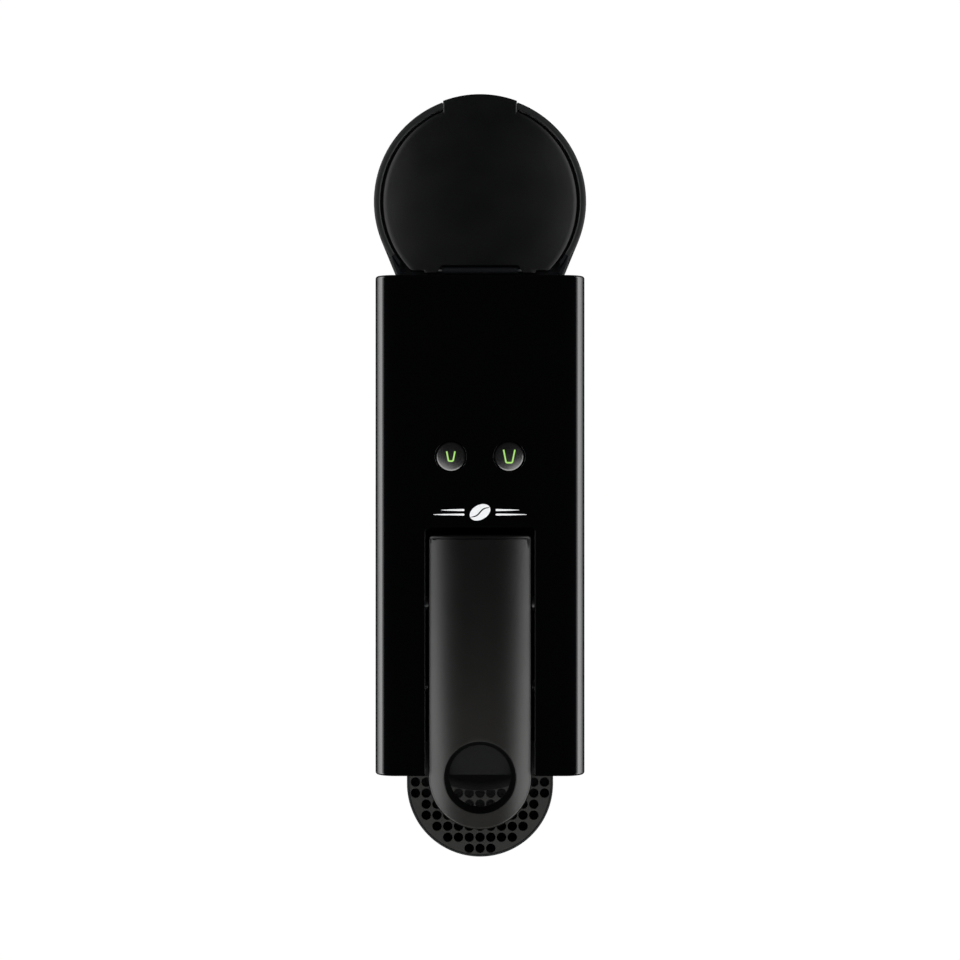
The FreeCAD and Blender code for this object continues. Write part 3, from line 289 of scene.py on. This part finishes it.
def white_nylon():
    """Natural nylon of pump and meter, with flow lines from the gate."""
    p = Paint("white_nylon", Subsurface_Weight=0.15, Subsurface_Scale=0.001)
    flow = p.noise(1, 3, 0.5, p.stretched(300, 60, 300))
    p.set(Base_Color=p.mix(flow, (0.60, 0.59, 0.54), (0.72, 0.71, 0.67)), Roughness=0.42 + flow * 0.12)
    return p.relief(flow, 0.00001)


def solder_resist():
    """Green board lacquer over a grid of tracks, with rows of tinned pads."""
    p = Paint("solder_resist", Specular_IOR_Level=0.5)
    tracks = p.out("ShaderNodeTexBrick", "Fac", {"offset": 0.35, "squash": 1.4, "squash_frequency": 3},
                   Vector=p.node("ShaderNodeMapping", {"vector_type": "POINT"}, Vector=p.places,
                                 Rotation=(0, np.pi / 2, 0)).outputs[0],
                   Scale=160.0, Mortar_Size=0.11, Brick_Width=0.9, Row_Height=0.33)
    p.set(Base_Color=p.mix(tracks, (0.004, 0.045, 0.018), (0.012, 0.11, 0.045)), Roughness=0.25)
    return p.relief(tracks, 0.00003)


def lit_green():
    """The back-lit sign: a frosted window with light behind it."""
    p = Paint("lit_green", Roughness=0.35)
    glow = p.noise(700, 2)
    p.set(Base_Color=(0.10, 0.20, 0.05),
          Emission_Color=p.mix(glow, (0.40, 0.74, 0.17), (0.44, 0.80, 0.20)), Emission_Strength=0.85)
    return p


def ink_white():
    """Screen-printed off-white ink with a fine speckle at its edges."""
    p = Paint("ink_white", Roughness=0.5)
    p.set(Base_Color=p.mix(p.noise(2600, 3), (0.62, 0.63, 0.64), (0.82, 0.83, 0.84)))
    return p.relief(p.noise(3000, 2), 0.000004)


FINISHES = {
    "polished_black": polished_black(),
    "lever_satin": lever_satin(),
    "bore_black": bore_black(),
    "dark_chrome": dark_chrome(),
    "lid_satin": grained_black("lid_satin", (0.0009, 0.0011, 0.0012), (0.0018, 0.0020, 0.0022), 0.20, 0.000006),
    "rim_satin": grained_black("rim_satin", (0.0035, 0.0040, 0.0042), (0.0060, 0.0065, 0.0068), 0.32, 0.000007),
    "tray_grey": grained_black("tray_grey", (0.011, 0.0125, 0.0135), (0.017, 0.0185, 0.020), 0.46, 0.00002),
    "grid_grey": grained_black("grid_grey", (0.032, 0.0315, 0.030), (0.045, 0.044, 0.042), 0.5, 0.00002),
    "nose_satin": grained_black("nose_satin", (0.0012, 0.0012, 0.0013), (0.0022, 0.0022, 0.0024), 0.5,
                                0.000006),
    "moulded_black": grained_black("moulded_black", (0.006, 0.0065, 0.007), (0.010, 0.0105, 0.011), 0.5),
    "inner_grey": grained_black("inner_grey", (0.045, 0.046, 0.048), (0.065, 0.066, 0.068), 0.48),
    "smoked_plastic": smoked_plastic(),
    "drawn_steel": drawn_steel(),
    "cast_metal": cast_metal(),
    "wound_copper": wound_copper(),
    "milky_silicone": milky_silicone(),
    "black_rubber": black_rubber(),
    "white_nylon": white_nylon(),
    "solder_resist": solder_resist(),
    "lit_green": lit_green(),
    "ink_white": ink_white(),
}

NODE_FINISH = {
    "polished_black": ["outer_casing", "button_large_cup", "button_small_cup", "capsule_bin"],
    "lever_satin": ["lever_cover"],
    "lid_satin": ["tank_lid"],
    "tray_grey": ["drip_tray"],
    "grid_grey": ["drip_grid"],
    "nose_satin": ["outlet_nose"],
    "moulded_black": ["front_cover", "throat_panel", "rear_cover", "base_chassis", "tank_pedestal",
                      "lever_well", "lever_arm", "coffee_spout", "board_components"],
    "inner_grey": ["head_deck", "bulkhead", "brew_frame", "capsule_cage", "valve_body", "button_carrier"],
    "smoked_plastic": ["water_tank"],
    "drawn_steel": ["extraction_plate", "lid_hinge_pin", "valve_spring", "pump_piston", "pump_frame",
                    "heater_terminals", "thermostats", "tact_switches", "screws", "lever_pivots",
                    "cage_pins", "piercing_plate"],
    "cast_metal": ["thermoblock"],
    "wound_copper": ["pump_coil"],
    "milky_silicone": ["plate_seal", "tank_seat_seal", "heater_leads", "suction_hose", "pump_inlet_hose",
                       "riser_hose", "hot_hose"],
    "black_rubber": ["pump_mounts", "rubber_feet", "cord_gland"],
    "white_nylon": ["valve_plunger", "pump_body", "flow_meter_body", "flow_meter_lid", "flow_impeller",
                    "board_posts"],
    "solder_resist": ["main_board", "button_board"],
    "lit_green": ["button_leds", "cup_light_large", "cup_light_small"],
}


def coat(thing, finish):
    """Gives an object one finish in place of whatever material slots it has."""
    thing.data.materials.clear()
    thing.data.materials.append(FINISHES[finish].material)


for finish, names in NODE_FINISH.items():
    for name in names:
        coat(NODES[name], finish)


# ---------------------------------------------------------------- mesh makers
def sheet_of(name, grid, finish, body, wrap_u=False, wrap_v=False, crease=35):
    """A mesh from grid[u, v] = (x, y, z): quads between neighbours, joined round where a way wraps.

    Points that fall together, as at a pole, become one. Edges that turn more than crease degrees stay sharp.
    """
    rows, cols = grid.shape[:2]
    index = np.arange(rows * cols).reshape(rows, cols)
    if wrap_u:
        index = np.vstack([index, index[:1]])
    if wrap_v:
        index = np.hstack([index, index[:, :1]])
    quads = np.stack([index[:-1, :-1], index[1:, :-1], index[1:, 1:], index[:-1, 1:]], axis=-1)
    mesh = bpy.data.meshes.new(name)
    mesh.from_pydata(grid.reshape(-1, 3).tolist(), [], quads.reshape(-1, 4).tolist())
    weld(mesh)
    mesh.polygons.foreach_set("use_smooth", np.full(len(mesh.polygons), True))
    mesh.set_sharp_from_angle(angle=np.radians(crease))
    thing = bpy.data.objects.new(name, mesh)
    bpy.context.scene.collection.objects.link(thing)
    coat(thing, finish)
    if body:
        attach(thing, body)
    return thing


def weld(mesh):
    """Joins points that lie together and turns every face outwards."""
    work = bmesh.new()
    work.from_mesh(mesh)
    bmesh.ops.remove_doubles(work, verts=work.verts, dist=1e-7)
    bmesh.ops.recalc_face_normals(work, faces=work.faces)
    work.to_mesh(mesh)
    work.free()


def xyz(x, y, z):
    """One grid of points from three arrays or numbers that broadcast together."""
    return np.stack(np.broadcast_arrays(x, y, z), axis=-1)


def quarter(radius, steps=6):
    """A rounded edge: how far in from the side and how far down from the top, along a quarter turn."""
    turn = np.linspace(0, np.pi / 2, steps)
    return radius * (1 - np.sin(turn)), radius * (1 - np.cos(turn))


# ---------------------------------------------------------------- lever
LEVER_LOW, LEVER_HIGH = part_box("lever_cover")
LEVER_HALF = LEVER_HIGH.x
LOOP_Y = LEVER_LOW.y + LEVER_HALF       # centre of the round front end and of the finger hole
LEVER_FLAT = 5.0 * MM                   # half width of the flat middle
LEVER_ROLL = 45.0 * MM                  # radius of the arcs beside it
LEVER_DROOP = 0.9 * MM                  # how far the top sinks at the front end
DROOP_START = -60 * MM
LEVER_EDGE = 0.8 * MM
LEVER_SKIRT = 1.9 * MM                  # wall thickness of the skirt
LEVER_CEILING = LEVER_HIGH.z - 3.4 * MM
HOLE_TOP_R, HOLE_LOW_R = 14.3 * MM, 12.4 * MM
GROOVE_IN = 1.55 * MM                   # middle of the groove along the rear edge, from that edge
GROOVE_HALF = 0.25 * MM
GROOVE_DEEP = 0.45 * MM
OUTLINE_RUNS = (72, 48, 8, 28, 8, 48)   # points on the front round, a side, a corner, the rear and back round


def lever_outline(inset):
    """The lever from above, moved in by inset: a half circle, two straight sides and two rounded corners."""
    half, rear = LEVER_HALF - inset, LEVER_HIGH.y - inset
    corner = 1.9 * MM - min(inset, 1.8 * MM)

    def turn(cx, cy, radius, first, last, count):
        angle = np.linspace(first, last, count, endpoint=False)
        return np.stack([cx + radius * np.cos(angle), cy + radius * np.sin(angle)], axis=1)

    def run(x0, y0, x1, y1, count):
        share = np.linspace(0, 1, count, endpoint=False)[:, None]
        return np.array([[x0, y0]]) * (1 - share) + np.array([[x1, y1]]) * share

    side, back = half - corner, rear - corner
    return np.vstack([
        turn(0, LOOP_Y, half, np.pi, TAU, OUTLINE_RUNS[0]),
        run(half, LOOP_Y, half, back, OUTLINE_RUNS[1]),
        turn(side, back, corner, 0, np.pi / 2, OUTLINE_RUNS[2]),
        run(side, rear, -side, rear, OUTLINE_RUNS[3]),
        turn(-side, back, corner, np.pi / 2, np.pi, OUTLINE_RUNS[4]),
        run(-half, back, -half, LOOP_Y, OUTLINE_RUNS[5]),
    ])


def lever_top(x, y):
    """Height of the top: flat in the middle, arcs to the sides, sinking by a parabola towards the front."""
    out = np.clip(np.abs(x) - LEVER_FLAT, 0, None)
    fall = LEVER_ROLL - np.sqrt(LEVER_ROLL ** 2 - out ** 2)
    ahead = np.clip(DROOP_START - y, 0, None) / (DROOP_START - LEVER_LOW.y)
    return LEVER_HIGH.z - fall - LEVER_DROOP * ahead ** 2


def lever_skin():
    """A closed skin. Round the finger hole run rays to the outline; each carries one closed section.

    The section goes up the bore, out over the crowned top, round the edge, down the skirt and back
    through the hollow underside.
    """
    rim = lever_outline(0)
    ray = rim - [0, LOOP_Y]
    ray /= np.linalg.norm(ray, axis=1)[:, None]

    def ring(radius):
        return [0, LOOP_Y] + ray * radius

    rows = []

    def add(points, height):
        rows.append(xyz(points[:, 0], points[:, 1], height))

    bottom, edge_r = LEVER_LOW.z, 0.35 * MM
    add(ring(HOLE_LOW_R + 1.8 * MM), bottom)
    add(ring(HOLE_LOW_R), bottom)
    add(ring(HOLE_LOW_R), bottom + 1.1 * MM)
    mouth = ring(HOLE_TOP_R)
    for share in (0.33, 0.66, 1.0):
        points = ring(HOLE_LOW_R + (HOLE_TOP_R - HOLE_LOW_R) * share)
        low = bottom + 1.1 * MM
        add(points, low + (lever_top(mouth[:, 0], mouth[:, 1]) - edge_r - low) * share)
    for turn in np.linspace(0.3, np.pi / 2, 4):
        points = ring(HOLE_TOP_R + edge_r * (1 - np.cos(turn)))
        add(points, lever_top(points[:, 0], points[:, 1]) - edge_r * (1 - np.sin(turn)))
    start, end = ring(HOLE_TOP_R + edge_r), lever_outline(GROOVE_IN + 3 * GROOVE_HALF)
    for share in np.linspace(0, 1, 44)[1:]:
        points = start + (end - start) * share
        add(points, lever_top(points[:, 0], points[:, 1]))
    behind = np.repeat([0.0, 0.0, 0.5, 1.0, 0.5, 0.0], OUTLINE_RUNS)
    for place in np.linspace(1.2, -1.2, 9):
        points = lever_outline(GROOVE_IN + place * GROOVE_HALF)
        cut = GROOVE_DEEP * np.sqrt(max(0.0, 1 - place ** 2)) * behind
        add(points, lever_top(points[:, 0], points[:, 1]) - cut)
    end = lever_outline(LEVER_EDGE)
    for inset, drop in zip(*quarter(LEVER_EDGE, 7)):
        points = lever_outline(inset)
        add(points, lever_top(end[:, 0], end[:, 1]) - drop)
    add(rim, bottom + 0.3 * MM)
    add(lever_outline(0.3 * MM), bottom)
    add(lever_outline(LEVER_SKIRT), bottom)
    add(lever_outline(LEVER_SKIRT), LEVER_CEILING)
    add(ring(HOLE_LOW_R + 1.8 * MM), LEVER_CEILING)
    skin = sheet_of("lever_skin", np.stack(rows, axis=1), "lever_satin", "lever",
                    wrap_u=True, wrap_v=True, crease=50)
    skin.data.materials.append(FINISHES["bore_black"].material)
    count = len(skin.data.polygons)
    centres, ways = np.empty(count * 3), np.empty(count * 3)
    skin.data.polygons.foreach_get("center", centres)
    skin.data.polygons.foreach_get("normal", ways)
    centres, ways = centres.reshape(-1, 3), ways.reshape(-1, 3)
    near_hole = np.hypot(centres[:, 0], centres[:, 1] - LOOP_Y) < HOLE_TOP_R + 0.2 * MM
    # painted shade: the finger hole's wall and every steep face take the nearly unreflective material
    painted_shade_faces = (near_hole & (ways[:, 2] < 0.7)) | (ways[:, 2] < 0.55)
    skin.data.polygons.foreach_set("material_index", painted_shade_faces.astype(np.int32))
    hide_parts("lever_cover")
    return skin


# ---------------------------------------------------------------- buttons
BUTTON_R = 6.0 * MM
DOME_R = 150 * MM                       # the one shallow sphere that both caps are cut from
DOME_TOP = 204.5 * MM
DOME_Y = 34 * MM                        # the dome's top lies between and behind the buttons
CAP_EDGE = 0.45 * MM                    # radius of a cap's rolled edge
CAP_DEPTH = 3.9 * MM                    # from a cap's top to where its stem starts
STEM_R = 3.1 * MM
SIGN_STROKE = 0.62 * MM


def dome_height(x, y):
    """Height of the dome over a point: a sphere's upper half."""
    return DOME_TOP - DOME_R + np.sqrt(DOME_R ** 2 - x ** 2 - (y - DOME_Y) ** 2)


def button_place(node):
    low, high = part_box(node)
    return (low.x + high.x) / 2, (low.y + high.y) / 2


BUTTON_X, BUTTON_Y = button_place("button_large_cup")


def button_cap(name, node, body, side):
    """A turned cap: from the middle of the dome out to a rolled edge, down its side, in, and down the stem."""
    x0, low = side * BUTTON_X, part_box(node)[0].z
    angle = np.linspace(0, TAU, 96, endpoint=False)[:, None]
    inset, drop = quarter(CAP_EDGE)
    face = np.linspace(0, BUTTON_R - CAP_EDGE, 14)[:-1]
    reach = np.concatenate([face, BUTTON_R - inset, [BUTTON_R, STEM_R, STEM_R, 0]])[None, :]
    x, y = x0 + reach * np.cos(angle), BUTTON_Y + reach * np.sin(angle)
    top = dome_height(x, y)
    top[:, len(face):len(face) + len(drop)] -= drop
    top[:, -4:-2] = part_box(node)[1].z - CAP_DEPTH
    top[:, -2:] = low
    cap = sheet_of(name, xyz(x, y, top), "dark_chrome", body, wrap_u=True)
    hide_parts(node)
    return cap


def rounded_path(corners, radius, per_turn=7):
    """A line through corners, each inner one rounded off by a tangent arc, as evenly turned points."""
    corners = np.array(corners, float)
    out = [corners[0]]
    for before, here, after in zip(corners, corners[1:], corners[2:]):
        back, on = before - here, after - here
        back, on = back / np.linalg.norm(back), on / np.linalg.norm(on)
        half = np.arccos(np.clip(back @ on, -1, 1)) / 2
        middle = here + (back + on) / np.linalg.norm(back + on) * radius / np.sin(half)
        first, last = here + back * radius / np.tan(half) - middle, here + on * radius / np.tan(half) - middle
        sweep = np.linspace(0, 1, per_turn)[:, None]
        span = np.pi - 2 * half
        out.append(middle + (first * np.sin((1 - sweep) * span) + last * np.sin(sweep * span)) / np.sin(span))
    out.append(corners[-1])
    return np.vstack(out)


def cup_sign(name, node, body, side, wide, tall):
    """The lit cup: a band of constant width along a rounded U, its top just proud of the dome."""
    stroke, foot = SIGN_STROKE, 0.27 * wide
    corners = [(-wide / 2 + stroke * 0.55, tall / 2), (-foot + stroke * 0.3, -tall / 2 + stroke / 2),
               (foot - stroke * 0.3, -tall / 2 + stroke / 2), (wide / 2 - stroke * 0.55, tall / 2)]
    path = rounded_path(corners, stroke)
    way = np.gradient(path, axis=0)
    way /= np.linalg.norm(way, axis=1)[:, None]
    normal = np.stack([-way[:, 1], way[:, 0]], axis=1)
    across = np.array([-1, -1, -0.8, 0.8, 1, 1]) * stroke / 2
    lift = np.array([-0.5, 0.0, 0.05, 0.05, 0.0, -0.5]) * MM
    ends = np.concatenate([[0.0], np.ones(len(path)), [0.0]])
    path = np.vstack([path[:1], path, path[-1:]])
    normal = np.vstack([normal[:1], normal, normal[-1:]])
    flat = path[:, None, :] + normal[:, None, :] * across[None, :, None] * ends[:, None, None]
    x, y = side * BUTTON_X + flat[..., 0], BUTTON_Y + flat[..., 1]
    lift = np.where(ends[:, None] > 0, lift[None, :], -0.5 * MM)
    sign = sheet_of(name, xyz(x, y, dome_height(x, y) + lift), "lit_green", body, wrap_v=True)
    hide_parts(node)
    return sign


# ---------------------------------------------------------------- tank lid and rim
LID_LOW, LID_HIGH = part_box("tank_lid")
TANK_LOW, TANK_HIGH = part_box("water_tank")
TANK_R = TANK_HIGH.x
TANK_Y = TANK_HIGH.y - TANK_R
LID_R = 39.1 * MM
LID_TOP = TANK_HIGH.z + 0.8 * MM
LID_CROWN = 300 * MM                    # radius of the lid's top, across X
LID_EDGE = 0.5 * MM
LID_WALL = 3 * MM
LID_GAP = 0.9 * MM                      # between the lid and the tank's rim
TAB_HALF, TAB_REACH = 14.8 * MM, 43.0 * MM
NOTCH_HALF, NOTCH_BACK = 15.5 * MM, 1.8 * MM    # the gap at the hinge, from its middle and behind its axis
ARM_HALF, ARM_FRONT = 22.6 * MM, 1.2 * MM       # the hinge arms beside the gap
CHORD_FRONT = 0.2 * MM                  # the straight front edge beyond the arms
HINGE_Y = 94.6 * MM
TAPER = np.radians(28.5)                # how far forward of square the tank's sides start to close in


def lid_reach(angle):
    """How far the lid goes from its centre at each angle: a disc, a tab behind and a stepped front."""
    c, s = np.abs(np.cos(angle)) + 1e-9, np.sin(angle)
    tab = np.clip(TAB_HALF / c, LID_R, TAB_REACH)
    fore = np.abs(np.clip(s, None, -1e-6))
    axis = TANK_Y - HINGE_Y
    notch, arms, chord = (axis - NOTCH_BACK) / fore, (axis + ARM_FRONT) / fore, (axis + CHORD_FRONT) / fore
    edge = np.where(notch * c < NOTCH_HALF, notch, np.where(arms * c < ARM_HALF, arms, chord))
    return np.where(s > 0, tab, np.minimum(edge, LID_R))


def lid_skin():
    """A closed disc on rays from its centre: crowned across, with a rolled edge and a flat underside."""
    steps = [np.linspace(0, TAU, 240, endpoint=False)]
    for corner in (67.7, 69.9, 58.9):
        for at in (corner, 180 - corner):
            place = at if corner != 58.9 else -at
            steps.append(np.radians(place + np.array([-1.2, -0.6, -0.3, -0.1, 0.0, 0.1, 0.3, 0.6, 1.2])))
    angle = np.unique(np.round(np.mod(np.concatenate(steps), TAU), 6))
    reach = lid_reach(angle)[:, None]
    inset, drop = quarter(LID_EDGE)
    face = np.linspace(0, 1, 26)[:-1]
    out = np.concatenate([(reach - LID_EDGE) * face, reach - inset, reach, reach - LID_WALL,
                          reach - LID_WALL, reach * 0], axis=1)
    x, y = out * np.cos(angle)[:, None], TANK_Y + out * np.sin(angle)[:, None]
    z = LID_TOP - LID_CROWN + np.sqrt(LID_CROWN ** 2 - x ** 2)
    z[:, len(face):len(face) + len(drop)] -= drop
    z[:, -4:-2] = LID_LOW.z
    z[:, -2:] = LID_LOW.z + 1.1 * MM
    skin = sheet_of("lid_skin", xyz(x, y, z), "lid_satin", "lid", wrap_u=True, crease=50)
    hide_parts("tank_lid")
    return skin


def tank_lip(name, side):
    """A bead on the tank's rim from the tab's notch to the hinge: its section follows the tank's outline."""
    angle = np.linspace(np.radians(-31.6), np.radians(69.2), 120)
    outer = np.where(angle > -TAPER, TANK_R, TANK_R / np.cos(angle + TAPER)) - 0.02 * MM
    inner = np.full_like(outer, LID_R + LID_GAP)
    roll, drop = quarter(0.5 * MM, 5)
    height = TANK_HIGH.z + 0.25 * MM
    foot = TANK_HIGH.z - 0.4 * MM
    rows = [xyz(inner, angle, foot)]
    rows += [xyz(inner + a, angle, height - b) for a, b in zip(roll[::-1], drop[::-1])]
    rows += [xyz(outer - a, angle, height - 0.12 * MM - b) for a, b in zip(roll, drop)]
    rows += [xyz(outer, angle, foot)]
    polar = np.stack(rows, axis=1)
    middle = polar.mean(axis=1, keepdims=True)
    caps = np.broadcast_to(middle, polar.shape)
    polar = np.concatenate([caps[:1], polar, caps[-1:]], axis=0)
    x, y = side * polar[..., 0] * np.cos(polar[..., 1]), TANK_Y + polar[..., 0] * np.sin(polar[..., 1])
    return sheet_of(name, xyz(x, y, polar[..., 2]), "rim_satin", "tank", wrap_v=True, crease=45)


# ---------------------------------------------------------------- hose
HOSE_R, HOSE_BEND = 2.3 * MM, 5 * MM


def hot_hose_skin():
    """The hose from heater to cage: circles round a rounded path, closed at both ends.

    It is one fixed mesh that moves with no part.
    """
    low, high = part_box("hot_hose")
    radius = HOSE_R
    side_x, drop_y = low.x + radius, 3.0 * MM
    level, cage_y = low.z + radius, low.y + radius
    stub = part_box("thermoblock")[0].z + 8 * MM
    corners = [(side_x, high.y, stub), (side_x, drop_y, stub), (side_x, drop_y, level + 2 * MM),
               (0, -8 * MM, level), (0, cage_y, level), (0, cage_y, level + 18 * MM)]
    path = rounded_path(corners, HOSE_BEND, 9)
    way = np.gradient(path, axis=0)
    way /= np.linalg.norm(way, axis=1)[:, None]
    across = np.cross(way, [1.0, 0, 0])
    across /= np.linalg.norm(across, axis=1)[:, None]
    other = np.cross(way, across)
    turn = np.linspace(0, TAU, 24, endpoint=False)[None, :, None]
    reach = np.concatenate([[0.0], np.full(len(path), radius), [0.0]])[:, None, None]
    path, across, other = (np.vstack([a[:1], a, a[-1:]])[:, None, :] for a in (path, across, other))
    grid = path + reach * (np.cos(turn) * across + np.sin(turn) * other)
    hose = sheet_of("hot_hose_skin", grid, "milky_silicone", None, wrap_v=True)
    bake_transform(hose)
    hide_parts("hot_hose")


# ---------------------------------------------------------------- printed mark
MARK_Y = -2.2 * MM
INK = 0.02 * MM
CASING_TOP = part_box("outer_casing")[1].z


def printed(name, grid):
    """A flat print on the casing's top, as thick as a layer of ink."""
    piece = sheet_of(name, grid, "ink_white", "machine")
    layer = piece.modifiers.new("ink", "SOLIDIFY")
    layer.thickness = INK
    layer.offset = -1.0
    return piece


def bean_half(name, side):
    """Half a coffee bean: from its wavy middle line out to an ellipse."""
    along = np.linspace(-1, 1, 41)[:, None] * 0.995
    across = np.linspace(0, 1, 9)[None, :]
    ellipse = np.sqrt(1 - along ** 2)
    wave = 0.20 * np.sin(np.pi * along) * ellipse
    inside = wave + side * 0.10 * ellipse
    outside = side * ellipse
    u, v = along, inside * (1 - across) + outside * across
    tilt = np.radians(28)
    x = 4.4 * MM * u * np.cos(tilt) - 2.9 * MM * v * np.sin(tilt)
    y = MARK_Y + 4.4 * MM * u * np.sin(tilt) + 2.9 * MM * v * np.cos(tilt)
    return printed(name, xyz(x, y, CASING_TOP + INK))


def pin_stripe(name, side, y0, first, last):
    """A printed line that thins to a point away from the bean."""
    along = np.linspace(0, 1, 33)[:, None]
    across = np.linspace(-1, 1, 5)[None, :]
    width = 0.42 * MM * np.sqrt(1 - along * 0.98) * np.sqrt(np.minimum(1, along * 30 + 0.05))
    x = side * (first + (last - first) * along) + 0 * across
    return printed(name, xyz(x, y0 + width * across, CASING_TOP + INK))


# ---------------------------------------------------------------- floor, light and camera
def studio_floor():
    """A pale floor that turns up into a far round wall. It lights and shows, but isn't mirrored."""
    reach = np.array([0.0, 0.3, 1.0, 3.0, 4.0, 4.7, 5.0, 5.0])
    rise = np.array([0.0, 0.0, 0.0, 0.0, 0.1, 0.5, 1.4, 5.0]) - 0.0002
    turn = np.linspace(0, TAU, 64, endpoint=False)
    grid = np.stack([reach[:, None] * np.cos(turn), reach[:, None] * np.sin(turn),
                     np.broadcast_to(rise[:, None], (8, 64))], axis=-1)
    p = Paint("studio_paper", Roughness=0.9, Specular_IOR_Level=0.1, Emission_Color=(1, 1, 1),
              Emission_Strength=0.99)
    p.set(Base_Color=p.mix(p.noise(3, 2), (0.020, 0.020, 0.020), (0.024, 0.024, 0.024)))
    FINISHES["studio_paper"] = p
    floor = sheet_of("studio_floor", grid, "studio_paper", None, wrap_v=True)
    floor.visible_glossy = False
    floor.visible_shadow = False


def softbox(name, place, target, width, height, radiance, group):
    """A rectangular lamp that faces target and lights one group of things.

    Its power follows from its area and wanted radiance.
    """
    lamp = bpy.data.lights.new(name, "AREA")
    lamp.shape = "RECTANGLE"
    lamp.size, lamp.size_y = width, height
    lamp.energy = radiance * np.pi * width * height
    thing = bpy.data.objects.new(name, lamp)
    way = np.array(target) - np.array(place)
    thing.location = place
    thing.rotation_euler = Vector(way).to_track_quat("-Z", "Y").to_euler()
    thing.visible_camera = False
    bpy.context.scene.collection.objects.link(thing)
    thing.light_linking.receiver_collection = group


def overhead(name, target, lean, turn, far, width, height, radiance, group):
    """A softbox seen from target at lean degrees from straight up, turn degrees round from +X."""
    a, b = np.radians(lean), np.radians(turn)
    way = np.array([np.sin(a) * np.cos(b), np.sin(a) * np.sin(b), np.cos(a)])
    softbox(name, tuple(np.array(target) + way * far), target, width, height, radiance, group)


def group_of(name, names):
    """The things with those names, as a collection that lamps can be told to light."""
    group = bpy.data.collections.new(name)
    for each in names:
        group.objects.link(bpy.data.objects[each])
    return group


def lights():
    """Bright strips beside the machine, and soft lamps higher up that each light only some of its parts.

    The polished casing is left to the strips, so that its flat top mirrors nothing and stays black.
    """
    everything = [thing.name for thing in bpy.context.scene.objects if thing.type == "MESH"]
    strips = [                          # middle height, height and radiance
        (0.19, 0.22, 6.6), (0.355, 0.11, 3.2), (0.47, 0.12, 0.95),
        (-0.01, 0.18, 4.7), (-0.19, 0.18, 2.75), (-0.38, 0.20, 1.15), (-0.63, 0.30, 0.33),
    ]
    spared = ("drip_grid", "lever_skin", "button_cap_large", "button_cap_small")
    beside = group_of("lit_from_beside", [n for n in everything if n not in spared])
    for side, hand in ((-1, "left"), (1, "right")):
        for number, (z, tall, radiance) in enumerate(strips):
            softbox(f"{hand}_strip_{number}", (side, 0.0, z), (0, 0, 0.19), 1.7, tall, radiance, beside)
    lever = ["lever_skin"]
    tank = ["lid_skin", "tank_lip_left", "tank_lip_right", "water_tank"]
    front = ["lever_well", "front_cover", "coffee_spout", "drip_tray"]
    shaded = ["outlet_nose", "drip_grid"]
    caps = {"left": ["button_cap_small", "cup_sign_small"], "right": ["button_cap_large", "cup_sign_large"]}
    dark = ["outer_casing", "studio_floor", "capsule_bin"]
    rest = set(everything) - set(lever + tank + shaded + front + caps["left"] + caps["right"] + dark)
    others = group_of("other_parts", sorted(rest))
    lever_group, tank_group = group_of("lever_parts", lever), group_of("tank_parts", tank)
    front_group = group_of("front_parts", front + sorted(rest))
    top = (0, -0.02, 0.2)
    for hand, turn, forward, fore_side in (("left", 180, 207, -118), ("right", 0, -27, -62)):
        overhead(f"{hand}_on_lever", top, 46, forward, 0.9, 0.75, 0.50, 3.7, lever_group)
        overhead(f"{hand}_on_tank", (0, 0.12, 0.2), 37, turn, 0.9, 1.0, 0.48, 2.2, tank_group)
        overhead(f"{hand}_on_rest", top, 45, turn, 0.9, 1.3, 0.50, 2.0, others)
        cap = group_of(f"{hand}_button", caps[hand])
        overhead(f"{hand}_on_button", (0, 0.02, 0.204), 29, fore_side, 0.9, 0.5, 0.35, 1.6, cap)
    overhead("front_on_lever", top, 41, -90, 0.9, 0.7, 0.30, 0.8, lever_group)
    overhead("front_on_rest", top, 41, -90, 0.9, 0.7, 0.36, 2.4, front_group)
    overhead("on_grid", (0, -0.13, 0.04), 5, 90, 1.1, 0.20, 0.20, 13.0, group_of("grid_parts", ["drip_grid"]))
    world = bpy.data.worlds.new("dim_room")
    world.use_nodes = True
    world.node_tree.nodes["Background"].inputs["Color"].default_value = (0.015, 0.015, 0.016, 1)
    bpy.context.scene.world = world


def camera():
    """Straight above, the top of the frame towards the rear."""
    lens = bpy.data.cameras.new("above")
    lens.lens = 89.37
    lens.sensor_width = 36.0
    lens.clip_start = 0.01
    lens.clip_end = 30.0
    thing = bpy.data.objects.new("above", lens)
    thing.location = (0, 0.01067, 1.154)
    bpy.context.scene.collection.objects.link(thing)
    bpy.context.scene.camera = thing


# ---------------------------------------------------------------- build
lever_skin()
for side, name in ((1, "large"), (-1, "small")):
    button_cap(f"button_cap_{name}", f"button_{name}_cup", f"{name}_button", side)
cup_sign("cup_sign_large", "cup_light_large", "large_button", 1, 5.2 * MM, 5.5 * MM)
cup_sign("cup_sign_small", "cup_light_small", "small_button", -1, 4.0 * MM, 4.2 * MM)
lid_skin()
tank_lip("tank_lip_right", 1)
tank_lip("tank_lip_left", -1)
hot_hose_skin()
bean_half("bean_front", -1)
bean_half("bean_back", 1)
for side, hand in ((1, "right"), (-1, "left")):
    for number, y in enumerate((-0.9, 0.9)):
        pin_stripe(f"stripe_{hand}_{number}", side, MARK_Y + y * MM, 6.2 * MM, (18.6 - number * 3.0) * MM)
studio_floor()
lights()
camera()
bpy.context.scene.view_settings.view_transform = "Standard"
bpy.context.scene.view_settings.look = "None"
